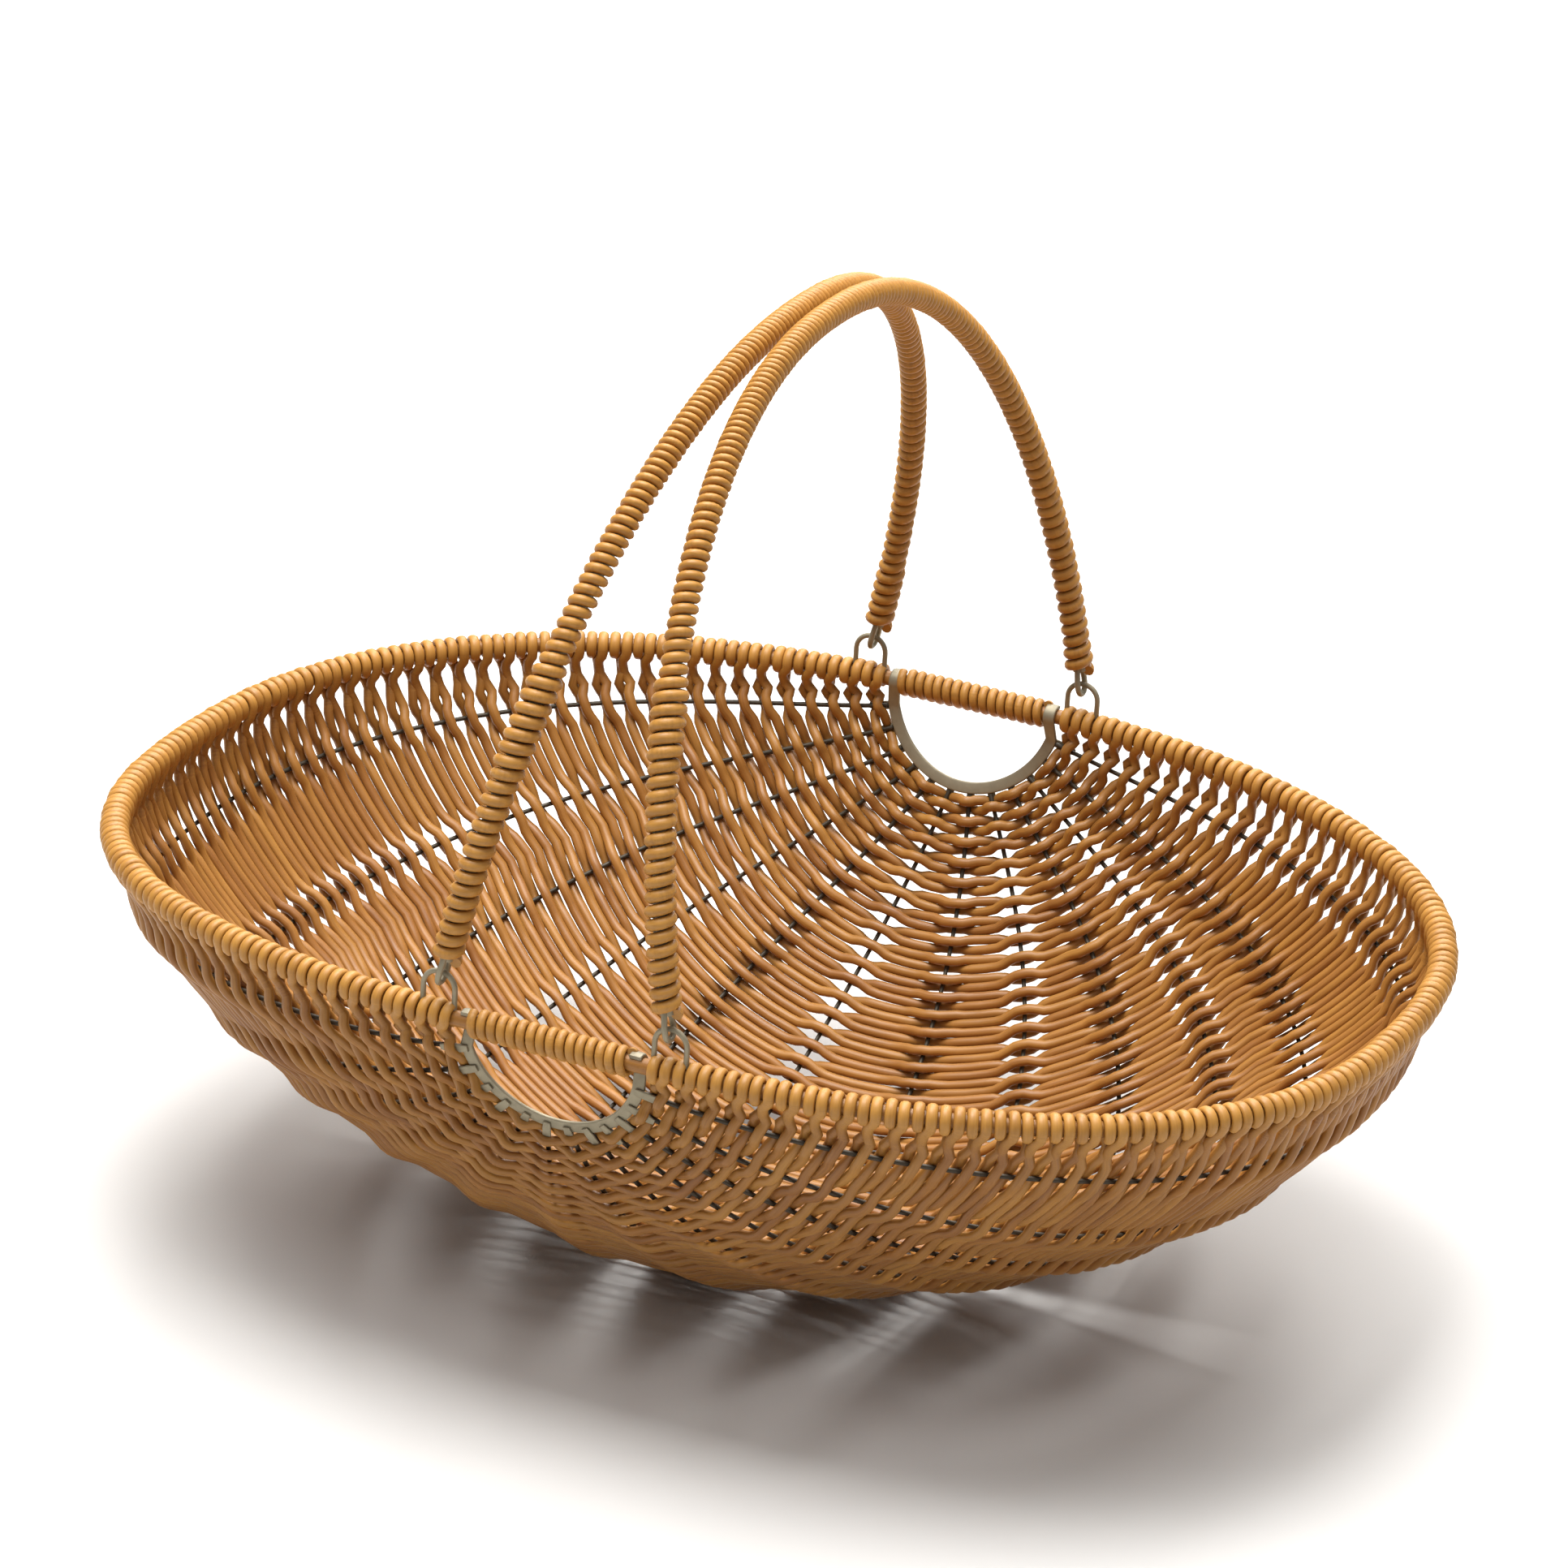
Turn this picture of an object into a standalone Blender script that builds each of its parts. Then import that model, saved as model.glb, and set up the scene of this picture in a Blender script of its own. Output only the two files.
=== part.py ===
"""Oval frame basket woven from plastic cane, with two arched swing handles.

The rim hoop lies level, long side along X. Twelve wire ribs fan out from the strip round the front
hand hole, pass under the bowl and close on the strip round the back hand hole. Weaver bands cross
the ribs, over one and under the next, and both ends of each band curl round the hoop. Each handle
is a wound rod with an eye at either end, linked through a wire staple on the hoop.

Units are metres, +Z is up, and the basket stands on z = 0 with its centre over the origin.
"""
import math

import bmesh
import bpy
import numpy as np

# Bowl
RIM_HALF_LENGTH = 0.220
RIM_HALF_WIDTH = 0.1630
BOWL_TIP_DEPTH = 0.1385
FLOOR_DEPTH = 0.1305
FLOOR_ROUND = 0.0025
RIM_END_DROP = 0.0075
RIM_EXPONENT = 2.4
FLOOR_EXPONENT = 1.75
WALL_EXPONENT = 1.7

# Rim hoop and weave
HOOP_RADIUS = 0.0030
RIB_COUNT = 12
RIB_RADIUS = 0.0012
OUTER_RIB_ANGLE = math.radians(12)
SECOND_RIB_ANGLE = math.radians(30.2)
RIB_FAN_EXPONENT = 5.0
BAND_COUNT = 18
BAND_THICKNESS = 0.0022
BAND_GAP = 0.0012
CURL_GAP = 0.0026
SEAT_GAP = 0.0003
PLATEAU_SHARE = 0.13
FIRST_LINE_SHARE = 0.66
CURL_STEP = math.radians(45)
LINE_STEPS = 401
CURL_ANGLES = [math.radians(angle) for angle in (-42, 0, 45, 90, 135, 180, 218)]

# Hand holes
HOLE_RADIUS = 0.0290
STRIP_WIDTH = 0.0040
STRIP_THICKNESS = 0.0015
STRIP_STEPS = 14
RIB_START_ANGLE = math.radians(17)
GRIP_TURNS = 11
GRIP_END_SPACE = 0.0028

# Strand of the windings
STRAND_RADIUS = 0.00095
POINTS_PER_TURN = 8

# Staples and handles
STAPLE_X = 0.0400
STAPLE_HALF_WIDTH = 0.0055
STAPLE_WIRE_RADIUS = 0.0009
STAPLE_AXIS_HEIGHT = 0.0090
STAPLE_ARC_STEPS = 8
STAPLE_CLEARANCE = 0.0015
EYE_WIRE_RADIUS = 0.0010
EYE_RADIUS = 0.0029
HANDLE_REACH = 0.1852
HANDLE_FOOT_SIDE_EXPONENT = 2.2
HANDLE_RISE_EXPONENT = 1.9
HANDLE_ROD_RADIUS = 0.0024
HANDLE_NECK_LENGTH = 0.0060
HANDLE_POINTS = 39
HANDLE_TURNS = 20
RIGHT_HANDLE_LEAN = math.radians(10.1)

# Sizes that follow from the ones above
RIM_HEIGHT = FLOOR_DEPTH + RIB_RADIUS + SEAT_GAP + BAND_THICKNESS
WEAVE_OFFSET = RIB_RADIUS + SEAT_GAP + BAND_THICKNESS / 2
CURL_STRETCH = 1 / math.cos(CURL_STEP / 2)
CURL_INNER_RADIUS = (HOOP_RADIUS + SEAT_GAP) * CURL_STRETCH
CURL_OUTER_RADIUS = (HOOP_RADIUS + SEAT_GAP + BAND_THICKNESS) * CURL_STRETCH
TURN_STRETCH = 1 / math.cos(math.pi / POINTS_PER_TURN)
STRIP_OUTER_RADIUS = HOLE_RADIUS + STRIP_WIDTH
WEAVE_START_RADIUS = STRIP_OUTER_RADIUS + SEAT_GAP
GRIP_HALF_LENGTH = HOLE_RADIUS - GRIP_END_SPACE
RIM_WEAVE_START = STAPLE_X + STAPLE_HALF_WIDTH + STAPLE_WIRE_RADIUS + STAPLE_CLEARANCE
EYE_CENTRE_REACH = STAPLE_HALF_WIDTH + STAPLE_WIRE_RADIUS + SEAT_GAP - (EYE_RADIUS - EYE_WIRE_RADIUS)
ROD_START_REACH = EYE_CENTRE_REACH + EYE_RADIUS
HANDLE_WINDING_RADIUS = (HANDLE_ROD_RADIUS + 2 * SEAT_GAP + STRAND_RADIUS) * TURN_STRETCH
GRIP_WINDING_RADIUS = (HOOP_RADIUS + SEAT_GAP + STRAND_RADIUS) * TURN_STRETCH
HANDLE_OUTER_RADIUS = HANDLE_WINDING_RADIUS + STRAND_RADIUS

# Colours of the materials
CANE_GOLD = (0.56, 0.30, 0.09)
CANE_BROWN = (0.45, 0.20, 0.06)
DULL_STEEL = (0.33, 0.31, 0.25)


def empty_scene():
    """Remove every object of the scene that the script starts in."""
    for scene_object in list(bpy.data.objects):
        bpy.data.objects.remove(scene_object)


def new_collection(name):
    """Make a collection and link it to the scene."""
    collection = bpy.data.collections.new(name)
    bpy.context.scene.collection.children.link(collection)
    return collection


def new_material(name, colour, roughness, metallic):
    """Make a plain Principled material."""
    material = bpy.data.materials.new(name)
    material.use_nodes = True
    shader = material.node_tree.nodes["Principled BSDF"]
    shader.inputs["Base Color"].default_value = (*colour, 1)
    shader.inputs["Roughness"].default_value = roughness
    shader.inputs["Metallic"].default_value = metallic
    return material


def paint(piece, colour, roughness, metallic):
    """Give a piece its own material."""
    piece.data.materials.clear()
    piece.data.materials.append(new_material(piece.name + "_material", colour, roughness, metallic))


def paint_cane(piece, colour=CANE_GOLD):
    """Paint a piece as glossy plastic cane."""
    paint(piece, colour, 0.4, 0)


def paint_steel(piece):
    """Paint a piece as dull steel wire."""
    paint(piece, DULL_STEEL, 0.45, 0.9)


def wall_points(theta, phi):
    """Points of the bowl's middle surface, as an array of rows.

    phi runs from the front of the rim to its back, and theta turns about the Y axis from the right
    half of the rim, under the bowl, to the left half.
    """
    theta, phi = np.broadcast_arrays(np.asarray(theta, float), np.asarray(phi, float))
    x_share = np.sin(phi) * np.cos(theta)
    y_share = -np.cos(phi)
    depth_share = np.abs(np.sin(phi) * np.sin(theta))
    reach = np.ones_like(phi)
    for _ in range(12):
        exponent = plan_exponent(depth_share * reach)
        plan = np.abs(x_share) ** exponent + np.abs(y_share) ** exponent
        reach = (plan ** (WALL_EXPONENT / exponent) + depth_share ** WALL_EXPONENT) ** (-1 / WALL_EXPONENT)
    x = RIM_HALF_LENGTH * x_share * reach
    y = RIM_HALF_WIDTH * y_share * reach
    depth = flat_bottomed(BOWL_TIP_DEPTH * depth_share * reach)
    drop = RIM_END_DROP * (x / RIM_HALF_LENGTH) ** 2 * (1 - depth / FLOOR_DEPTH)
    return np.stack([x, y, RIM_HEIGHT - depth - drop], axis=-1)


def flat_bottomed(depth):
    """Depth of the wall with its tip levelled off at the floor, through a short round."""
    mix = np.clip((FLOOR_DEPTH - depth) / FLOOR_ROUND / 2 + 1 / 2, 0, 1)
    return FLOOR_DEPTH * (1 - mix) + depth * mix - FLOOR_ROUND * mix * (1 - mix)


def plan_exponent(depth_share):
    """Exponent of the bowl's plan outline at a share of its depth."""
    return RIM_EXPONENT + (FLOOR_EXPONENT - RIM_EXPONENT) * np.clip(depth_share, 0, 1)


def wall_normals(theta, phi):
    """Outward unit normals of the bowl's middle surface."""
    step = math.radians(1)
    across = wall_points(theta + step, phi) - wall_points(theta - step, phi)
    along = wall_points(theta, phi + step) - wall_points(theta, phi - step)
    normals = np.cross(across, along)
    return normals / np.linalg.norm(normals, axis=-1, keepdims=True)


def hole_angles(x, depth):
    """theta and phi of the wall point with a given x and depth under the rim."""
    x_share = abs(x) / RIM_HALF_LENGTH
    depth_share = depth / BOWL_TIP_DEPTH
    exponent = plan_exponent(depth_share)
    plan = (1 - depth_share ** WALL_EXPONENT) ** (exponent / WALL_EXPONENT)
    y_share = (plan - x_share ** exponent) ** (1 / exponent)
    theta = math.atan2(depth_share, x / RIM_HALF_LENGTH)
    phi = math.atan2(math.hypot(x_share, depth_share), y_share)
    return theta, phi


def rib_angle(place):
    """theta of a place among the ribs, which are numbered from the right, with the hoop at either end."""
    inner = np.linspace(SECOND_RIB_ANGLE, math.pi - SECOND_RIB_ANGLE, RIB_COUNT - 2)
    angles = [0, OUTER_RIB_ANGLE, *inner, math.pi - OUTER_RIB_ANGLE, math.pi]
    return float(np.interp(place, range(RIB_COUNT + 2), angles))


def spaced(theta, phi):
    """Points, directions, theta and phi where a front-to-back line meets every band border."""
    line = wall_points(theta, phi)
    steps = np.linalg.norm(np.diff(line, axis=0), axis=1)
    lengths = np.concatenate([[0], np.cumsum(steps)])
    borders = np.linspace(0, lengths[-1], BAND_COUNT + 1)
    slopes = np.gradient(line, axis=0)
    directions = np.stack([np.interp(borders, lengths, slopes[:, axis]) for axis in range(3)], axis=1)
    directions /= np.linalg.norm(directions, axis=1, keepdims=True)
    theta = np.interp(borders, lengths, theta)
    phi = np.interp(borders, lengths, phi)
    return wall_points(theta, phi), directions, theta, phi


def wall_line(place):
    """Points, normals and directions at the band borders, on the line at a place among the ribs.

    The line lies in one plane through the Y axis of the rim, but for its ends, which are spaced
    evenly round the edge of the hand hole.
    """
    turn = RIB_START_ANGLE + (math.pi - 2 * RIB_START_ANGLE) * (place - 1) / (RIB_COUNT - 1)
    theta_start, phi_start = hole_angles(
        WEAVE_START_RADIUS * math.cos(turn), WEAVE_START_RADIUS * math.sin(turn))
    theta_middle = rib_angle(place)
    across = np.linspace(-1, 1, LINE_STEPS)
    phi = math.pi / 2 + across * (math.pi / 2 - phi_start)
    theta = theta_middle + (theta_start - theta_middle) * np.abs(across) ** RIB_FAN_EXPONENT
    points, directions, theta, phi = spaced(theta, phi)
    return points, wall_normals(theta, phi), directions


def rim_line(side):
    """Points, outward directions and directions at the band borders, on one half of the rim."""
    theta_start, phi_start = hole_angles(side * RIM_WEAVE_START, 0)
    phi = np.linspace(phi_start, math.pi - phi_start, LINE_STEPS)
    points, directions, _, _ = spaced(np.full(LINE_STEPS, theta_start), phi)
    outward = side * np.cross(directions, (0, 0, 1))
    return points, outward / np.linalg.norm(outward, axis=1, keepdims=True), directions


def loft(name, sections, collection):
    """Join like four-cornered sections into one closed body."""
    mesh = bmesh.new()
    rings = [[mesh.verts.new(corner) for corner in section] for section in sections]
    for ring, following in zip(rings, rings[1:]):
        for corner in range(4):
            beside = (corner + 1) % 4
            mesh.faces.new((ring[corner], ring[beside], following[beside], following[corner]))
    mesh.faces.new(rings[0])
    mesh.faces.new(rings[-1])
    bmesh.ops.recalc_face_normals(mesh, faces=mesh.faces)
    data = bpy.data.meshes.new(name)
    mesh.to_mesh(data)
    mesh.free()
    piece = bpy.data.objects.new(name, data)
    collection.objects.link(piece)
    return piece


def tube(name, points, radius, sides_resolution, collection, closed=False, radius_shares=None):
    """Round wire along a list of points, with filled ends unless it is closed."""
    data = bpy.data.curves.new(name, "CURVE")
    data.dimensions = "3D"
    data.bevel_depth = radius
    data.bevel_resolution = sides_resolution
    data.use_fill_caps = not closed
    spline = data.splines.new("POLY")
    spline.points.add(len(points) - 1)
    for index, point in enumerate(points):
        spline.points[index].co = (*point, 1)
        if radius_shares is not None:
            spline.points[index].radius = radius_shares[index]
    spline.use_cyclic_u = closed
    piece = bpy.data.objects.new(name, data)
    collection.objects.link(piece)
    return piece


def as_mesh(piece, collection):
    """Turn a curve into a mesh object with its end caps welded."""
    bpy.context.view_layer.update()
    evaluated = piece.evaluated_get(bpy.context.evaluated_depsgraph_get())
    data = bpy.data.meshes.new_from_object(evaluated)
    mesh = bmesh.new()
    mesh.from_mesh(data)
    bmesh.ops.remove_doubles(mesh, verts=mesh.verts, dist=SEAT_GAP / 100)
    mesh.to_mesh(data)
    mesh.free()
    name = piece.name
    solid = bpy.data.objects.new(name + "_solid", data)
    solid.matrix_world = piece.matrix_world
    collection.objects.link(solid)
    bpy.data.objects.remove(piece)
    solid.name = name
    return solid


def edge_points(line, border, side):
    """A line's point at a band border, drawn in by half the gap between bands, and its normal."""
    points, normals, directions = line
    inward = 1 if side == 0 else -1
    return points[border] + inward * directions[border] * BAND_GAP / 2, normals[border]


def wall_section(line, band, rise):
    """Four corners of a band where it crosses one line of the wall."""
    corners = []
    for face, sides in ((1, (0, 1)), (-1, (1, 0))):
        for side in sides:
            point, normal = edge_points(line, band + side, side)
            corners.append(point + normal * (rise + face * BAND_THICKNESS / 2))
    return corners


def curl_section(line, band, angle):
    """Four corners of a band's end at one angle round the rim hoop."""
    points, outward, along = line
    corners = []
    for radius, sides in ((CURL_INNER_RADIUS, (0, 1)), (CURL_OUTER_RADIUS, (1, 0))):
        for side in sides:
            border = band + side
            inward = 1 if side == 0 else -1
            centre = points[border] + inward * along[border] * CURL_GAP / 2
            turned = outward[border] * math.cos(angle) + np.array((0, 0, 1)) * math.sin(angle)
            corners.append(centre + turned * radius)
    return corners


def build_weave(collection, right_rim, left_rim):
    """Weaver bands, each passing outside one rib and inside the next."""
    columns = []
    for number in range(1, RIB_COUNT + 1):
        for offset in (-PLATEAU_SHARE, PLATEAU_SHARE):
            columns.append((number, wall_line(number + offset)))
    first_line = wall_line(FIRST_LINE_SHARE)
    last_line = wall_line(RIB_COUNT + 1 - FIRST_LINE_SHARE)
    for band in range(BAND_COUNT):
        sections = [curl_section(right_rim, band, angle) for angle in CURL_ANGLES]
        sections.append(wall_section(first_line, band, 0))
        for number, line in columns:
            rise = WEAVE_OFFSET if (number + band) % 2 == 0 else -WEAVE_OFFSET
            sections.append(wall_section(line, band, rise))
        sections.append(wall_section(last_line, band, 0))
        sections += [curl_section(left_rim, band, angle) for angle in reversed(CURL_ANGLES)]
        piece = loft(f"weaver_band_{band + 1:02d}", sections, collection)
        paint_cane(piece, CANE_BROWN)


def build_ribs(collection):
    """Wire ribs from the strip of the front hand hole to that of the back one."""
    for number in range(1, RIB_COUNT + 1):
        points, _, _ = wall_line(number)
        rib = tube(f"rib_wire_{number:02d}", points, RIB_RADIUS, 1, collection)
        paint_steel(rib)


def build_hoop(collection, right_rim, left_rim):
    """Rim hoop, straight across the top of each hand hole."""
    grip_end = HOLE_RADIUS + STRIP_WIDTH / 2
    grip_theta, grip_phi = hole_angles(grip_end, 0)
    corner = wall_points(grip_theta, grip_phi)
    front_right = corner
    front_left = corner * (-1, 1, 1)
    back_left = corner * (-1, -1, 1)
    back_right = corner * (1, -1, 1)
    points = [*right_rim[0], back_right, back_left, *left_rim[0][::-1], front_left, front_right]
    hoop = tube("rim_hoop", points, HOOP_RADIUS, 2, collection, closed=True)
    paint_cane(hoop)
    return corner


def build_hole_strip(name, depth_sign, collection):
    """Flat metal strip that edges one hand hole and reaches up to the hoop."""
    lowest_turn = math.asin((HOOP_RADIUS + SEAT_GAP) / HOLE_RADIUS)
    sections = []
    for step in range(STRIP_STEPS + 1):
        turn = lowest_turn + (math.pi - 2 * lowest_turn) * step / STRIP_STEPS
        corners = []
        for face, radii in ((1, (HOLE_RADIUS, STRIP_OUTER_RADIUS)), (-1, (STRIP_OUTER_RADIUS, HOLE_RADIUS))):
            for radius in radii:
                theta, phi = hole_angles(radius * math.cos(turn), radius * math.sin(turn))
                point = wall_points(theta, phi) + wall_normals(theta, phi) * face * STRIP_THICKNESS / 2
                corners.append(point * (1, depth_sign, 1))
        sections.append(corners)
    strip = loft(name, sections, collection)
    paint_steel(strip)


def helix_points(centres, normals, binormals, radius, turns):
    """Points of a winding round a path that is given with its frame."""
    angles = np.linspace(0, 2 * math.pi * turns, len(centres))[:, None]
    return centres + radius * (np.cos(angles) * normals + np.sin(angles) * binormals)


def least_gap(points, strand_radius):
    """Least clear distance between points of a winding that lie half a turn or more apart."""
    distances = np.linalg.norm(points[:, None, :] - points[None, :, :], axis=2)
    order = np.arange(len(points))
    apart = np.abs(order[:, None] - order[None, :]) >= POINTS_PER_TURN // 2
    return distances[apart].min() - 2 * strand_radius


def build_grip_winding(name, depth_sign, corner, collection):
    """Strand wound round the stretch of hoop above one hand hole."""
    count = GRIP_TURNS * POINTS_PER_TURN + 1
    centres = np.zeros((count, 3))
    centres[:, 0] = np.linspace(-GRIP_HALF_LENGTH, GRIP_HALF_LENGTH, count)
    centres[:, 1] = corner[1] * depth_sign
    centres[:, 2] = corner[2]
    upward = np.tile((0.0, 0.0, 1.0), (count, 1))
    sideways = np.tile((0.0, 1.0, 0.0), (count, 1))
    points = helix_points(centres, upward, sideways, GRIP_WINDING_RADIUS, GRIP_TURNS)
    winding = tube(name, points, STRAND_RADIUS, 1, collection)
    paint_cane(winding)
    print(f"{name}: least gap to itself {least_gap(points, STRAND_RADIUS) * 1000:.2f} mm")


def build_staple(name, x_sign, depth_sign, foot, collection):
    """Wire staple standing on the hoop, an arch that the handle's eye slides along."""
    foot_height = foot[2] + HOOP_RADIUS + SEAT_GAP
    axis_height = foot[2] + STAPLE_AXIS_HEIGHT
    centre = x_sign * foot[0]
    y = depth_sign * foot[1]
    points = [(centre - STAPLE_HALF_WIDTH, y, foot_height)]
    for step in range(STAPLE_ARC_STEPS + 1):
        angle = math.pi * (1 - step / STAPLE_ARC_STEPS)
        x = centre + STAPLE_HALF_WIDTH * math.cos(angle)
        points.append((x, y, axis_height + STAPLE_HALF_WIDTH * math.sin(angle)))
    points.append((centre + STAPLE_HALF_WIDTH, y, foot_height))
    staple = tube(name, points, STAPLE_WIRE_RADIUS, 1, collection)
    paint_steel(staple)


def arch_points(foot_y, shares):
    """Handle centreline in its own plane: Y across, Z away from the hinge axis."""
    angles = math.pi * np.asarray(shares)
    side = np.sign(np.cos(angles)) * np.abs(np.cos(angles)) ** (2 / HANDLE_FOOT_SIDE_EXPONENT)
    rise = np.abs(np.sin(angles)) ** (2 / HANDLE_RISE_EXPONENT)
    points = np.zeros((len(angles), 3))
    points[:, 1] = foot_y * side
    points[:, 2] = ROD_START_REACH + (HANDLE_REACH - ROD_START_REACH) * rise
    return points


def even_arch(foot_y, count, start_length):
    """Evenly spaced arch points with their directions, leaving out a length at either end."""
    line = arch_points(foot_y, np.linspace(0, 1, 2001))
    steps = np.linalg.norm(np.diff(line, axis=0), axis=1)
    lengths = np.concatenate([[0], np.cumsum(steps)])
    places = np.linspace(start_length, lengths[-1] - start_length, count)
    points = np.stack([np.interp(places, lengths, line[:, axis]) for axis in range(3)], axis=1)
    directions = np.gradient(points, axis=0)
    return points, directions / np.linalg.norm(directions, axis=1, keepdims=True)


def build_eye(name, foot_y, parent, collection):
    """Wire ring at a handle's end, square to the staple's wire."""
    bpy.ops.mesh.primitive_torus_add(
        major_radius=EYE_RADIUS, minor_radius=EYE_WIRE_RADIUS, major_segments=14, minor_segments=6,
        rotation=(0, math.pi / 2, 0))
    eye = bpy.context.object
    eye.name = name
    eye.parent = parent
    eye.location = (0, foot_y, EYE_CENTRE_REACH)
    for owner in list(eye.users_collection):
        owner.objects.unlink(eye)
    collection.objects.link(eye)
    eye.hide_render = True
    eye.display_type = "WIRE"
    return eye


def build_handle(side, x_sign, lean, foot, parts, cutters):
    """Handle rod with its two eyes, and the strand wound round it, on the hinge's empty."""
    hinge = bpy.data.objects.new(f"{side}_handle_hinge", None)
    hinge.location = (x_sign * foot[0], 0, foot[2] + STAPLE_AXIS_HEIGHT)
    hinge.rotation_euler = (0, -x_sign * lean, 0)
    parts.objects.link(hinge)
    foot_y = abs(foot[1])

    points, _ = even_arch(foot_y, HANDLE_POINTS, 0)
    steps = np.linalg.norm(points - points[0], axis=1)
    ends = np.minimum(steps, steps[::-1])
    neck_share = EYE_WIRE_RADIUS / HANDLE_ROD_RADIUS
    shares = neck_share + (1 - neck_share) * np.clip(ends / HANDLE_NECK_LENGTH, 0, 1)
    rod = tube(f"{side}_handle_rod", points, HANDLE_ROD_RADIUS, 1, parts, radius_shares=shares)
    rod = as_mesh(rod, parts)
    rod.parent = hinge
    for end, y in (("front", -foot_y), ("back", foot_y)):
        eye = build_eye(f"{side}_{end}_eye", y, hinge, cutters)
        joined = rod.modifiers.new(f"{end}_eye", "BOOLEAN")
        joined.operation = "UNION"
        joined.object = eye
    paint_steel(rod)

    count = HANDLE_TURNS * POINTS_PER_TURN + 1
    centres, directions = even_arch(foot_y, count, 2 * HANDLE_NECK_LENGTH)
    binormals = np.tile((1.0, 0.0, 0.0), (count, 1))
    normals = np.cross(directions, binormals)
    points = helix_points(centres, normals, binormals, HANDLE_WINDING_RADIUS, HANDLE_TURNS)
    winding = tube(f"{side}_handle_winding", points, STRAND_RADIUS, 1, parts)
    winding.parent = hinge
    paint_cane(winding)
    print(f"{winding.name}: least gap to itself {least_gap(points, STRAND_RADIUS) * 1000:.2f} mm")


def main():
    """Build the basket."""
    empty_scene()
    parts = new_collection("rib_basket")
    cutters = new_collection("cutters")

    right_rim = rim_line(1)
    left_rim = rim_line(-1)
    corner = build_hoop(parts, right_rim, left_rim)
    build_ribs(parts)
    build_weave(parts, right_rim, left_rim)

    foot_theta, foot_phi = hole_angles(STAPLE_X, 0)
    foot = wall_points(foot_theta, foot_phi)
    for depth_name, depth_sign in (("front", 1), ("back", -1)):
        build_hole_strip(f"{depth_name}_hole_strip", depth_sign, parts)
        build_grip_winding(f"{depth_name}_grip_winding", depth_sign, corner, parts)
        for side, x_sign in (("left", -1), ("right", 1)):
            build_staple(f"{depth_name}_{side}_staple", x_sign, depth_sign, foot, parts)

    right_top = STAPLE_X - HANDLE_REACH * math.sin(RIGHT_HANDLE_LEAN)
    left_top = right_top - 2 * HANDLE_OUTER_RADIUS - SEAT_GAP
    left_lean = math.asin((STAPLE_X + left_top) / HANDLE_REACH)
    build_handle("right", 1, RIGHT_HANDLE_LEAN, foot, parts, cutters)
    build_handle("left", -1, left_lean, foot, parts, cutters)


main()
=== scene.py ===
"""Looks of an oval frame basket woven from plastic cane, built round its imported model.

Guide lines are laid out on the wall, the rim and the handles. Node trees weave the cane along
them, over one rib and under the next, wind it round the hoop and the handle rods, and draw the
wires and strips of steel.

Units are metres, +Z is up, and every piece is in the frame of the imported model.
"""
import math

import bmesh
import bpy
import numpy as np
from mathutils import Color, Matrix, Vector


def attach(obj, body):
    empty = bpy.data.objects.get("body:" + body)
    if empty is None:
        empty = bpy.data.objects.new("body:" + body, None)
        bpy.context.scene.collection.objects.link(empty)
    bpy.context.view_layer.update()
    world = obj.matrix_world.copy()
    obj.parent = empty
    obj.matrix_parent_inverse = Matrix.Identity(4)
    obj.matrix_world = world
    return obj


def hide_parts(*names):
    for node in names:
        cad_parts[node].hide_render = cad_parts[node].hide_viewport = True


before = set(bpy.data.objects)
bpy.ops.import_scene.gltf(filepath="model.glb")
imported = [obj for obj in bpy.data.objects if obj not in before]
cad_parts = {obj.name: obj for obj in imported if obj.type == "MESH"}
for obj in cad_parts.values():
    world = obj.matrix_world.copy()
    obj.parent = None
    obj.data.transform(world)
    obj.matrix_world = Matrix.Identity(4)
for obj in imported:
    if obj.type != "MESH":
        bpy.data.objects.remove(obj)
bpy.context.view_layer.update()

bl_info = {
    "name": "Woven Cane Basket",
    "version": (1, 0, 0),
    "blender": (4, 5, 0),
    "location": "View3D > Sidebar > Basket",
    "description": "Builds the cane, the steel and the studio of an oval frame basket",
    "category": "Object",
}

# Bowl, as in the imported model
RIM_HALF_LENGTH = 0.220
RIM_HALF_WIDTH = 0.1630
RIM_HEIGHT = 0.1342
BOWL_TIP_DEPTH = 0.1385
FLOOR_DEPTH = 0.1305
FLOOR_ROUND = 0.0025
RIM_END_DROP = 0.0075
RIM_EXPONENT = 2.4
FLOOR_EXPONENT = 1.75
WALL_EXPONENT = 1.7
RIB_COUNT = 12
OUTER_RIB_ANGLE = math.radians(12)
SECOND_RIB_ANGLE = math.radians(30.2)
RIB_FAN_EXPONENT = 5.0
RIB_START_ANGLE = math.radians(17)
HOLE_RADIUS = 0.0290
STRIP_MIDDLE_RADIUS = 0.0310
WEAVE_START_RADIUS = 0.0333
RIM_WEAVE_START = 0.0335

# Handles and staples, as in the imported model
STAPLE_X = 0.0400
STAPLE_HALF_WIDTH = 0.0055
HINGE_HEIGHT = 0.0090
EYE_CENTRE_REACH = 0.0048
EYE_RADIUS = 0.0029
HANDLE_REACH = 0.1852
HANDLE_FOOT_SIDE_EXPONENT = 2.2
HANDLE_RISE_EXPONENT = 1.9
HANDLE_ROD_RADIUS = 0.0024
HANDLE_CREST_SPACING = 0.01075
RIGHT_HANDLE_LEAN = math.radians(10.1)

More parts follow.
